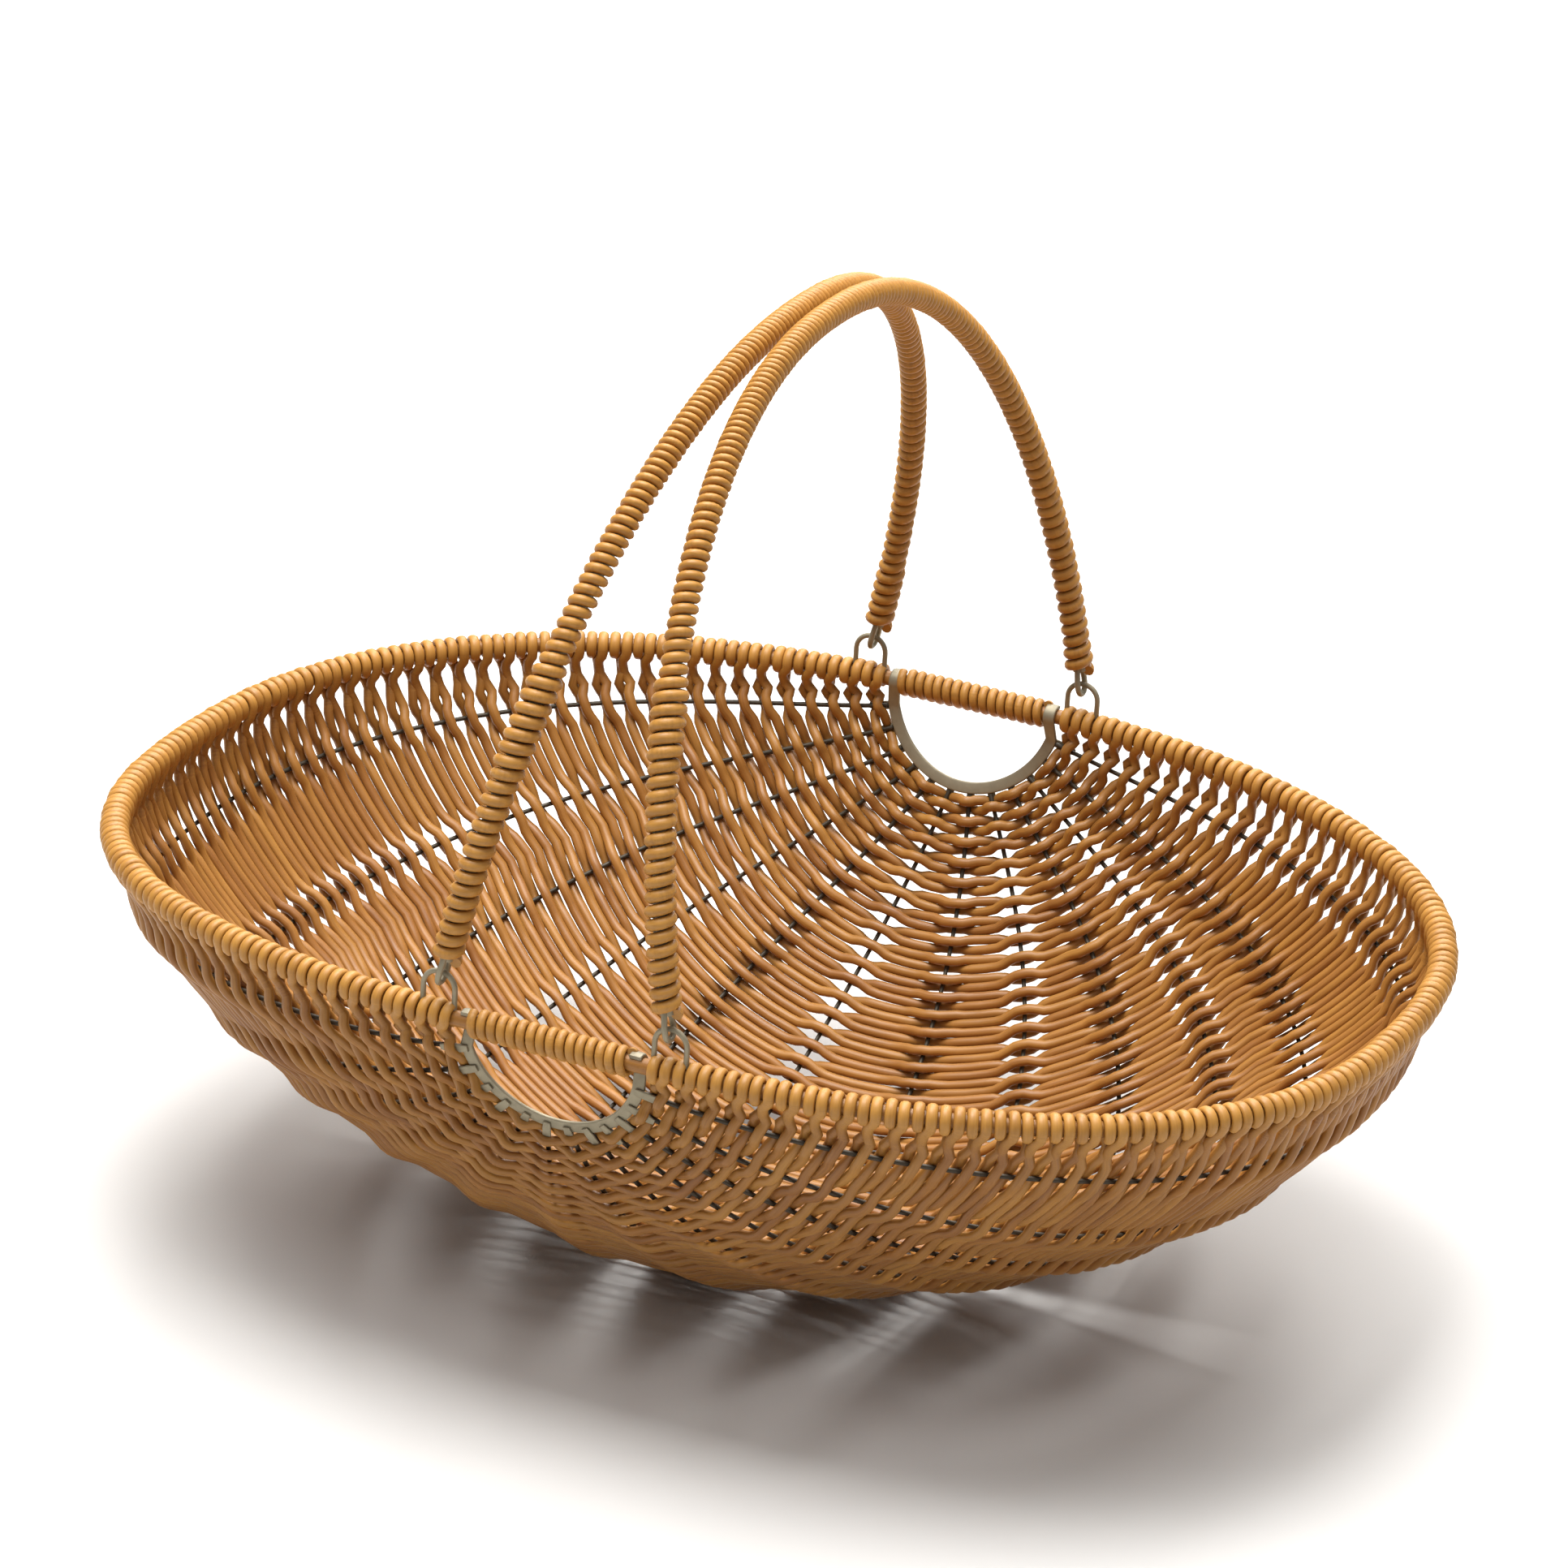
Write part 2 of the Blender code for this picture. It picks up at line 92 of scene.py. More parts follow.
# How finely lines and sections are drawn
REACH_ROUNDS = 12
NORMAL_STEP = math.radians(1)
LINE_STEPS = 401
RIB_STEPS = 97
RIM_STEPS = 73
GRIP_STEPS = 21
STRIP_STEPS = 41
TAB_STEPS = 5
STAPLE_ARC_STEPS = 17
STAPLE_LEG_STEPS = 5
EYE_STEPS = 13
ARCH_STEPS = 2001
TURN_STEPS = 16
WIRE_SIDES = 12
STRAND_SIDES = 10
RIB_SIDES = 8
EYE_SIDES = 10
STRIP_SIDES = 16

# Squareness of a section, which is 2 where it is round
ROUND = 2.0
STRIP_SQUARENESS = 5.0
TAB_SQUARENESS = 3.5

# Places of a row's points between two ribs, as shares of their distance
STATION_SHARES = (0, 0.075, 0.15, 0.235, 0.33, 0.5, 0.67, 0.765, 0.85, 0.925)

# Rows spread out from the last rib's places to the hoop's by this power of the way between them
RIM_FAN_EXPONENT = 1.5

# A row rises to the hoop over this length, or this share of its stretch from the last rib
HUG_LENGTH = 0.0105
HUG_SHARE = 0.7

# Two paired rows are drawn together this close to a rib, or within this share of the ribs' distance
PINCH_LENGTH = 0.0078
PINCH_SHARE = 0.36
PINCH_STEEPNESS = 1.5

# Below the hoop they are drawn together once more, at a depth and over a length that are capped
# as shares of the stretch from the last rib
HOOP_PINCH_DEPTH = 0.0085
HOOP_PINCH_DEPTH_SHARE = 0.37
HOOP_PINCH_LENGTH = 0.0058
HOOP_PINCH_LENGTH_SHARE = 0.28
HOOP_PINCH_SHARE = 0.9

# How far the weave opens at places among the ribs, in the front, the middle and the back of the
# bowl, and at what fractions of a rib each of these begins to pass into the next
OPENNESS_PLACES = (1, 3, 5, 6.5, 8, 9.5, 11, 12)
OPENNESS_SHARES = (
    (0.5, 0.4, 0.3, 0.35, 0.35, 0.3, 0.35, 0.5),
    (0.9, 0.85, 0.6, 0.45, 0.25, 0.2, 0.8, 0.95),
    (0.9, 0.9, 0.8, 0.7, 0.45, 0.22, 0.3, 0.8))
OPENNESS_FRACTIONS = (0.3, 0.6, 0.8)

# It opens less, by these shares, where ribs lie this close together
CLOSE_RIB_GAPS = (0.008, 0.022)
CLOSE_RIB_SHARES = (0.5, 1)

# Turn that a row's end takes round the hoop
WRAP_STEPS = 13
WRAP_START = math.radians(162)
WRAP_END = math.radians(-90)
END_GIRTH_SHARES = (0.45, 0.9)

# Groups of rows, with the first and last weaver band and the share of all rows that each begins with
ROW_GROUPS = (("front", 1, 6, 0), ("middle", 7, 12, 0.3), ("back", 13, 18, 0.7))

# Seeds of what is random
ROW_SEED = 3
GRIP_SEED = 5
HANDLE_SEED = 11

# A woven strand bends about every 40 mm, each in its own way, and a winding every turn and a half
STRAND_SEED_STEP = 7.3
STRAND_BEND_SCALE = 26.0
STRAND_BEND_SPREAD = 4.0
TURN_BEND_SCALE = 0.7

# Strips round the hand holes, hooked over the hoop, and the ribs' ends folded over them
STRIP_LOW_ANGLE = math.radians(16)
HOOK_ANGLES = np.radians((200, 180, 150, 120, 90, 60))
HOOK_SPREAD_SHARE = 0.94
MEAN_RIB_LENGTH = 0.42
TAB_OVERLAP = 0.0030
TAB_WIDTH = 0.0030
TAB_GIRTH_SHARES = (0.8, 1, 1, 1, 1, 0.7)

# Legs of an eye, as shares of its radius and of its leg's height, and how deep they go into the cane
EYE_LEG_SHARES = ((0.45, 1), (0.8, 0.6), (1, 0.25))
EYE_LEG_DEPTH = 0.003

# Which radius a handle's winding has at places along it, each a share of its length plus a length
WINDING_KNOTS = {
    "left": (
        (0, 0, "leg"), (0, 0.066, "leg"), (0, 0.068, "double"), (0, 0.098, "double"),
        (0, 0.106, "arch"), (1, -0.029, "arch"), (1, -0.024, "leg"), (1, 0, "leg")),
    "right": (
        (0, 0, "leg"), (0, 0.080, "leg"), (0, 0.084, "double"), (0, 0.104, "double"),
        (0, 0.107, "arch"), (1 / 2, 0, "arch"), (1, -0.060, "between"), (1, -0.013, "between"),
        (1, -0.010, "leg"), (1, 0, "leg"))}

# Lengths from a foot between which the turns change from the legs' spacing to the arch's
PITCH_PLACES = (0.09, 0.2)

# Wound cane, round the hoop and the handle rods, is painted lighter than woven cane, as painted light on
# cane that lies on top, by this many times what strands differ among themselves
WOUND_PAINTED_LIGHT = 2.0

# Patterns of the cane, per metre along and across a strand: lines 0.45 mm wide and 40 mm long, and
# blotches 11 mm wide and 25 mm long, with the shares that they and a strand's tone have in its colour
LINE_SCALE = (25, 2200, 2200)
BLOTCH_SCALE = (40, 90, 90)
PATTERN_SHIFT = 60.0
LINE_SHARE = 0.35
BLOTCH_SHARE = 0.5
TONE_SHARE = 0.12
LIGHTNESS_SHARES = (0.18, 0.8)

# Steel has patches 3 mm across, whose darkest colour is this share of its lightest, and the ribs
# are drawn in a darker colour
RIB_STEEL = "oxidised_steel_wire"
PATCH_SCALE = 320.0
TARNISH_SHARE = 0.7

# Studio: the floor, and the softboxes with their places and sizes
FLOOR_HALF_SIZE = 6
SOFTBOXES = (("key", (-0.3, 0.0, 1.85), 1.1), ("back", (-0.6, 2.6, 2.6), 2.4))

# Camera, as the photograph was taken
CAMERA_AZIMUTH = math.radians(23.74)
CAMERA_ELEVATION = math.radians(23.95)
CAMERA_ROLL = math.radians(3.49)
CAMERA_DISTANCE = 2.390
CAMERA_LENS = 167.7
CAMERA_SHIFT_X = 0.0053
CAMERA_SHIFT_Y = 0.0485


def hex_colour(code):
    """Linear colour of an sRGB hex code."""
    shares = [int(code[place:place + 2], 16) / 255 for place in (1, 3, 5)]
    return (*Color(shares).from_srgb_to_scene_linear(), 1)


class CaneSettings(bpy.types.PropertyGroup):
    """Sizes and colours of the plastic cane."""

    row_count: bpy.props.IntProperty(
        name="Rows", description="Rows of cane on either half of the hoop", default=134, min=18)
    row_spacing: bpy.props.FloatProperty(
        name="Row Spacing", description="Least spacing of the rows on a rib", default=0.00357, unit="LENGTH")
    strand_width: bpy.props.FloatProperty(
        name="Strand Width", description="Width of one strand", default=0.0036, unit="LENGTH")
    strand_thickness: bpy.props.FloatProperty(
        name="Strand Thickness", description="Thickness of one strand", default=0.0031, unit="LENGTH")
    wrap_thickness: bpy.props.FloatProperty(
        name="Wrap Thickness", description="Thickness of a strand drawn tight round the hoop",
        default=0.0024, unit="LENGTH")
    kink_length: bpy.props.FloatProperty(
        name="Kink Length", description="How far from a rib a strand leaves the wall's middle",
        default=0.0115, unit="LENGTH")
    fill_share: bpy.props.FloatProperty(
        name="Fill", description="Widest a strand may be, as a share of the rows' spacing",
        default=1.0, subtype="FACTOR")
    wrap_fill_share: bpy.props.FloatProperty(
        name="Wrap Fill", description="Width of a turn of cane, as a share of the turns' spacing",
        default=0.9, subtype="FACTOR")
    spread_share: bpy.props.FloatProperty(
        name="Spread", description="How much wider it may be over a rib, as a share of the rows' spacing",
        default=0.35, subtype="FACTOR")
    pinch_share: bpy.props.FloatProperty(
        name="Pinch", description="How close two paired rows come at a rib, as a share of their spacing",
        default=1.0, subtype="FACTOR")
    hoop_radius: bpy.props.FloatProperty(
        name="Hoop Radius", description="Radius of the hoop under the cane", default=0.0026, unit="LENGTH")
    unevenness: bpy.props.FloatProperty(
        name="Unevenness", description="How far strands stray from their place", default=0.0003,
        unit="LENGTH")
    grip_pitch: bpy.props.FloatProperty(
        name="Grip Pitch", description="Spacing of the turns above the hand holes", default=0.0034,
        unit="LENGTH")
    light_colour: bpy.props.FloatVectorProperty(
        name="Light Cane", description="Colour of the lightest cane", size=4, subtype="COLOR",
        default=hex_colour("#B68039"))
    dark_colour: bpy.props.FloatVectorProperty(
        name="Dark Cane", description="Colour of the darkest cane", size=4, subtype="COLOR",
        default=hex_colour("#704118"))


class SteelSettings(bpy.types.PropertyGroup):
    """Sizes and colours of the wires and strips."""

    rib_radius: bpy.props.FloatProperty(
        name="Rib Radius", description="Radius of the rib wires", default=0.0008, unit="LENGTH")
    staple_radius: bpy.props.FloatProperty(
        name="Staple Radius", description="Radius of the staple wire", default=0.0009, unit="LENGTH")
    eye_radius: bpy.props.FloatProperty(
        name="Eye Wire Radius", description="Radius of the wire of the handles' eyes", default=0.0010,
        unit="LENGTH")
    strip_width: bpy.props.FloatProperty(
        name="Strip Width", description="Width of the strips round the hand holes", default=0.0042,
        unit="LENGTH")
    strip_thickness: bpy.props.FloatProperty(
        name="Strip Thickness", description="Thickness of the strips", default=0.0014, unit="LENGTH")
    tab_length: bpy.props.FloatProperty(
        name="Tab Length", description="Length of a rib's folded end", default=0.0055, unit="LENGTH")
    colour: bpy.props.FloatVectorProperty(
        name="Steel", description="Colour of the dull steel", size=4, subtype="COLOR",
        default=hex_colour("#A29880"))
    # The ribs' wire is given a much darker grey-brown than the other steel
    rib_colour: bpy.props.FloatVectorProperty(
        name="Rib Steel", description="Colour of the ribs' oxidised steel", size=4, subtype="COLOR",
        default=hex_colour("#4C4438"))


class HandleSettings(bpy.types.PropertyGroup):
    """Sizes of the handle windings."""

    leg_pitch: bpy.props.FloatProperty(
        name="Leg Pitch", description="Spacing of the turns near the feet", default=0.0043, unit="LENGTH")
    arch_pitch: bpy.props.FloatProperty(
        name="Arch Pitch", description="Spacing of the turns over the top", default=0.0025, unit="LENGTH")
    arch_radius: bpy.props.FloatProperty(
        name="Arch Radius", description="Outer radius over the top", default=0.0046, unit="LENGTH")
    leg_radius: bpy.props.FloatProperty(
        name="Leg Radius", description="Outer radius of the legs", default=0.0051, unit="LENGTH")
    double_radius: bpy.props.FloatProperty(
        name="Double Radius", description="Outer radius where the winding is double", default=0.0058,
        unit="LENGTH")
    turn_thickness: bpy.props.FloatProperty(
        name="Turn Thickness", description="Thickness of the cane wound round the rods", default=0.0036,
        unit="LENGTH")
    start: bpy.props.FloatProperty(
        name="Start", description="Bare length of rod at either end", default=0.0025, unit="LENGTH")


class StudioSettings(bpy.types.PropertyGroup):
    """Floor and lights."""

    floor_colour: bpy.props.FloatVectorProperty(
        name="Floor", description="Colour of the floor", size=4, subtype="COLOR",
        default=hex_colour("#CFCDCA"))
    key_power: bpy.props.FloatProperty(
        name="Key Light", description="Power of the softbox over the basket", default=54, unit="POWER")
    back_power: bpy.props.FloatProperty(
        name="Back Light", description="Power of the softbox over the floor behind", default=118,
        unit="POWER")
    fill_strength: bpy.props.FloatProperty(
        name="Fill", description="Strength of the light from straight above", default=1.4)
    side_fill_strength: bpy.props.FloatProperty(
        name="Side Fill", description="Strength of the light from the sides", default=0.15)


def plan_exponent(depth_share):
    """Exponent of the bowl's plan outline at a share of its depth."""
    return RIM_EXPONENT + (FLOOR_EXPONENT - RIM_EXPONENT) * np.clip(depth_share, 0, 1)


def wall_points(theta, phi):
    """Points of the bowl's middle surface, phi from front to back and theta from right to left."""
    theta, phi = np.broadcast_arrays(np.asarray(theta, float), np.asarray(phi, float))
    x_share = np.sin(phi) * np.cos(theta)
    y_share = -np.cos(phi)
    depth_share = np.abs(np.sin(phi) * np.sin(theta))
    reach = np.ones_like(phi)
    for _ in range(REACH_ROUNDS):
        exponent = plan_exponent(depth_share * reach)
        plan = np.abs(x_share) ** exponent + np.abs(y_share) ** exponent
        reach = (plan ** (WALL_EXPONENT / exponent) + depth_share ** WALL_EXPONENT) ** (-1 / WALL_EXPONENT)
    x = RIM_HALF_LENGTH * x_share * reach
    depth = BOWL_TIP_DEPTH * depth_share * reach
    mix = np.clip((FLOOR_DEPTH - depth) / FLOOR_ROUND / 2 + 1 / 2, 0, 1)
    depth = FLOOR_DEPTH * (1 - mix) + depth * mix - FLOOR_ROUND * mix * (1 - mix)
    drop = RIM_END_DROP * (x / RIM_HALF_LENGTH) ** 2 * (1 - depth / FLOOR_DEPTH)
    return np.stack([x, RIM_HALF_WIDTH * y_share * reach, RIM_HEIGHT - depth - drop], axis=-1)


def unit(vectors):
    """Vectors drawn to length 1."""
    return vectors / np.linalg.norm(vectors, axis=-1, keepdims=True)


def wall_normals(theta, phi):
    """Outward unit normals of the bowl's middle surface."""
    theta = np.clip(theta, NORMAL_STEP, math.pi - NORMAL_STEP)
    across = wall_points(theta + NORMAL_STEP, phi) - wall_points(theta - NORMAL_STEP, phi)
    along = wall_points(theta, phi + NORMAL_STEP) - wall_points(theta, phi - NORMAL_STEP)
    return unit(np.cross(across, along))


def hole_angles(x, depth):
    """theta and phi of the front wall's point with a given x and depth under the rim."""
    x_share = abs(x) / RIM_HALF_LENGTH
    depth_share = depth / BOWL_TIP_DEPTH
    exponent = plan_exponent(depth_share)
    plan = (1 - depth_share ** WALL_EXPONENT) ** (exponent / WALL_EXPONENT)
    y_share = (plan - x_share ** exponent) ** (1 / exponent)
    theta = math.atan2(depth_share, x / RIM_HALF_LENGTH)
    phi = math.atan2(math.hypot(x_share, depth_share), y_share)
    return theta, phi


def rim_point(x):
    """Point of the front half of the rim with a given x."""
    return wall_points(*hole_angles(x, 0))


def lengths_along(points):
    """Length from the first point to each point of a line."""
    steps = np.linalg.norm(np.diff(points, axis=0), axis=1)
    return np.concatenate([[0], np.cumsum(steps)])


def at_fractions(theta, phi, fractions):
    """theta and phi at fractions of the length of a line on the wall."""
    lengths = lengths_along(wall_points(theta, phi))
    places = np.asarray(fractions) * lengths[-1]
    return np.interp(places, lengths, theta), np.interp(places, lengths, phi)


def rib_angle(place):
    """theta of a place among the ribs, which are numbered from the right, with the hoop at either end."""
    inner = np.linspace(SECOND_RIB_ANGLE, math.pi - SECOND_RIB_ANGLE, RIB_COUNT - 2)
    angles = [0, OUTER_RIB_ANGLE, *inner, math.pi - OUTER_RIB_ANGLE, math.pi]
    return float(np.interp(place, range(RIB_COUNT + 2), angles))


def wall_line(place, fractions):
    """theta and phi at fractions of the front-to-back line at a place among the ribs."""
    turn = RIB_START_ANGLE + (math.pi - 2 * RIB_START_ANGLE) * (place - 1) / (RIB_COUNT - 1)
    theta_start, phi_start = hole_angles(
        WEAVE_START_RADIUS * math.cos(turn), WEAVE_START_RADIUS * math.sin(turn))
    theta_middle = rib_angle(place)
    across = np.linspace(-1, 1, LINE_STEPS)
    phi = math.pi / 2 + across * (math.pi / 2 - phi_start)
    theta = theta_middle + (theta_start - theta_middle) * np.abs(across) ** RIB_FAN_EXPONENT
    return at_fractions(theta, phi, fractions)


def rim_line(side, fractions):
    """theta and phi at fractions of one half of the rim, from the front to the back."""
    theta_start, phi_start = hole_angles(side * RIM_WEAVE_START, 0)
    phi = np.linspace(phi_start, math.pi - phi_start, LINE_STEPS)
    return at_fractions(np.full(LINE_STEPS, theta_start), phi, fractions)


def rim_frame(side, fractions):
    """Points of the hoop and its outward directions, at fractions of half the rim."""
    points = wall_points(*rim_line(side, fractions))
    outward = side * np.cross(np.gradient(points, axis=0), (0, 0, 1))
    return points, unit(outward)


def guide_line(points, directions, girths=1):
    """Guide line of a wire or strip, with its outward direction and its girth at each point."""
    return {
        "points": points, "out_direction": np.broadcast_to(directions, points.shape),
        "girth": np.broadcast_to(girths, len(points))}


def guide_mesh(name, lines, closed=False):
    """Mesh of polylines that carry named values on their points."""
    edges = []
    start = 0
    for line in lines:
        count = len(line["points"])
        edges += [(start + step, start + step + 1) for step in range(count - 1)]
        if closed:
            edges.append((start + count - 1, start))
        start += count
    mesh = bpy.data.meshes.new(name)
    mesh.from_pydata(np.concatenate([line["points"] for line in lines]).tolist(), edges, [])
    for key in lines[0]:
        if key != "points":
            values = np.concatenate([line[key] for line in lines])
            kind, field = ("FLOAT_VECTOR", "vector") if values.ndim == 2 else ("FLOAT", "value")
            layer = mesh.attributes.new(key, kind, "POINT")
            layer.data.foreach_set(field, values.astype(np.float32).ravel())
    return mesh


def feed(made, inputs):
    """Set or link a node's inputs, which come in order or are keyed by name or number."""
    pairs = inputs.items() if isinstance(inputs, dict) else enumerate(inputs)
    for key, value in pairs:
        if isinstance(value, bpy.types.Node):
            value = value.outputs[0]
        if isinstance(value, bpy.types.NodeSocket):
            made.id_data.links.new(value, made.inputs[key])
        else:
            made.inputs[key].default_value = value


def node(tree, kind, inputs=(), **settings):
    """Add a node, give it its settings, and set or link its inputs."""
    made = tree.nodes.new(kind)
    for name, value in settings.items():
        setattr(made, name, value)
    feed(made, inputs)
    return made


def new_tree(name, *sockets):
    """Geometry node tree with named inputs, one geometry output, and its two end nodes."""
    tree = bpy.data.node_groups.new(name, "GeometryNodeTree")
    for label, kind in sockets:
        tree.interface.new_socket(label, in_out="INPUT", socket_type="NodeSocket" + kind)
    tree.interface.new_socket("Geometry", in_out="OUTPUT", socket_type="NodeSocketGeometry")
    return tree, node(tree, "NodeGroupInput").outputs, node(tree, "NodeGroupOutput")


def section_tree():
    """Tree that sweeps a rounded section along curves, with its width square to a given direction."""
    tree, given, result = new_tree(
        "strand_section", ("Curve", "Geometry"), ("Out", "Vector"), ("Width", "Float"),
        ("Thickness", "Float"), ("Sides", "Int"), ("Squareness", "Float"), ("Tone", "Float"),
        ("Material", "Material"))
    circle = node(tree, "GeometryNodeCurvePrimitiveCircle", {"Resolution": given["Sides"], "Radius": 1.0})
    position = node(tree, "GeometryNodeInputPosition")
    path_values = {
        "Centre": ("VECTOR", position),
        "Out": ("VECTOR", given["Out"]),
        "Tangent": ("VECTOR", node(tree, "GeometryNodeInputTangent")),
        "Width": ("FLOAT", given["Width"]),
        "Thickness": ("FLOAT", given["Thickness"]),
        "Along": ("FLOAT", node(tree, "GeometryNodeSplineParameter").outputs["Length"]),
        "Tone": ("FLOAT", given["Tone"])}
    captures = []
    for curve, values in ((given["Curve"], path_values), (circle, {"Around": ("VECTOR", position)})):
        capture = node(tree, "GeometryNodeCaptureAttribute", {"Geometry": curve}, domain="POINT")
        for name, (kind, value) in values.items():
            capture.capture_items.new(kind, name)
            feed(capture, {name: value})
        captures.append(capture.outputs)
    path, ring = captures
    swept = node(tree, "GeometryNodeCurveToMesh", {
        "Curve": path["Geometry"], "Profile Curve": ring["Geometry"], "Fill Caps": True})

    # Half width and half thickness, each with the section's roundness, at every point round it
    around = node(tree, "ShaderNodeSeparateXYZ", (ring["Around"],))
    power = node(tree, "ShaderNodeMath", (2.0, given["Squareness"]), operation="DIVIDE")
    reaches = {}
    for axis, size in (("X", path["Width"]), ("Y", path["Thickness"])):
        share = node(tree, "ShaderNodeMath", (around.outputs[axis],), operation="ABSOLUTE")
        bulge = node(tree, "ShaderNodeMath", (share, power), operation="POWER")
        sign = node(tree, "ShaderNodeMath", (around.outputs[axis],), operation="SIGN")
        half = node(tree, "ShaderNodeMath", (size, 2.0), operation="DIVIDE")
        signed = node(tree, "ShaderNodeMath", (bulge, sign), operation="MULTIPLY")
        reaches[axis] = node(tree, "ShaderNodeMath", (signed, half), operation="MULTIPLY")
    sideways = node(tree, "ShaderNodeVectorMath", (path["Out"], path["Tangent"]), operation="CROSS_PRODUCT")
    sideways = node(tree, "ShaderNodeVectorMath", (sideways,), operation="NORMALIZE")
    upward = node(tree, "ShaderNodeVectorMath", (path["Tangent"], sideways), operation="CROSS_PRODUCT")
    place = path["Centre"]
    for direction, axis in ((sideways, "X"), (upward, "Y")):
        offset = node(
            tree, "ShaderNodeVectorMath", {0: direction, "Scale": reaches[axis]}, operation="SCALE")
        place = node(tree, "ShaderNodeVectorMath", (place, offset), operation="ADD")
    geometry = node(tree, "GeometryNodeSetPosition", {"Geometry": swept, "Position": place})

    strand_place = node(tree, "ShaderNodeCombineXYZ", (path["Along"], reaches["X"], reaches["Y"]))
    for name, kind, value in (
            ("strand_place", "FLOAT_VECTOR", strand_place), ("strand_tone", "FLOAT", path["Tone"])):
        geometry = node(tree, "GeometryNodeStoreNamedAttribute", {
            "Geometry": geometry, "Name": name, "Value": value}, data_type=kind, domain="POINT")
    geometry = node(tree, "GeometryNodeSetShadeSmooth", {"Geometry": geometry})
    geometry = node(tree, "GeometryNodeRealizeInstances", {"Geometry": geometry})
    geometry = node(
        tree, "GeometryNodeSetMaterial", {"Geometry": geometry, "Material": given["Material"]})
    feed(result, (geometry,))
    return tree


def wire_tree(section):
    """Tree that draws wires and strips along the guide lines."""
    tree, given, result = new_tree(
        "steel_wire", ("Geometry", "Geometry"), ("Width", "Float"), ("Thickness", "Float"),
        ("Sides", "Int"), ("Squareness", "Float"), ("Material", "Material"))
    out = node(
        tree, "GeometryNodeInputNamedAttribute", {"Name": "out_direction"}, data_type="FLOAT_VECTOR")
    girth = node(tree, "GeometryNodeInputNamedAttribute", {"Name": "girth"}, data_type="FLOAT")
    wire = {"Curve": node(tree, "GeometryNodeMeshToCurve", {"Mesh": given["Geometry"]}), "Out": out}
    for size in ("Width", "Thickness"):
        wire[size] = node(tree, "ShaderNodeMath", (given[size], girth), operation="MULTIPLY")
    for name in ("Sides", "Squareness", "Material"):
        wire[name] = given[name]
    swept = node(tree, "GeometryNodeGroup", {**wire, "Tone": 0.5}, node_tree=section)
    feed(result, (swept,))
    return tree


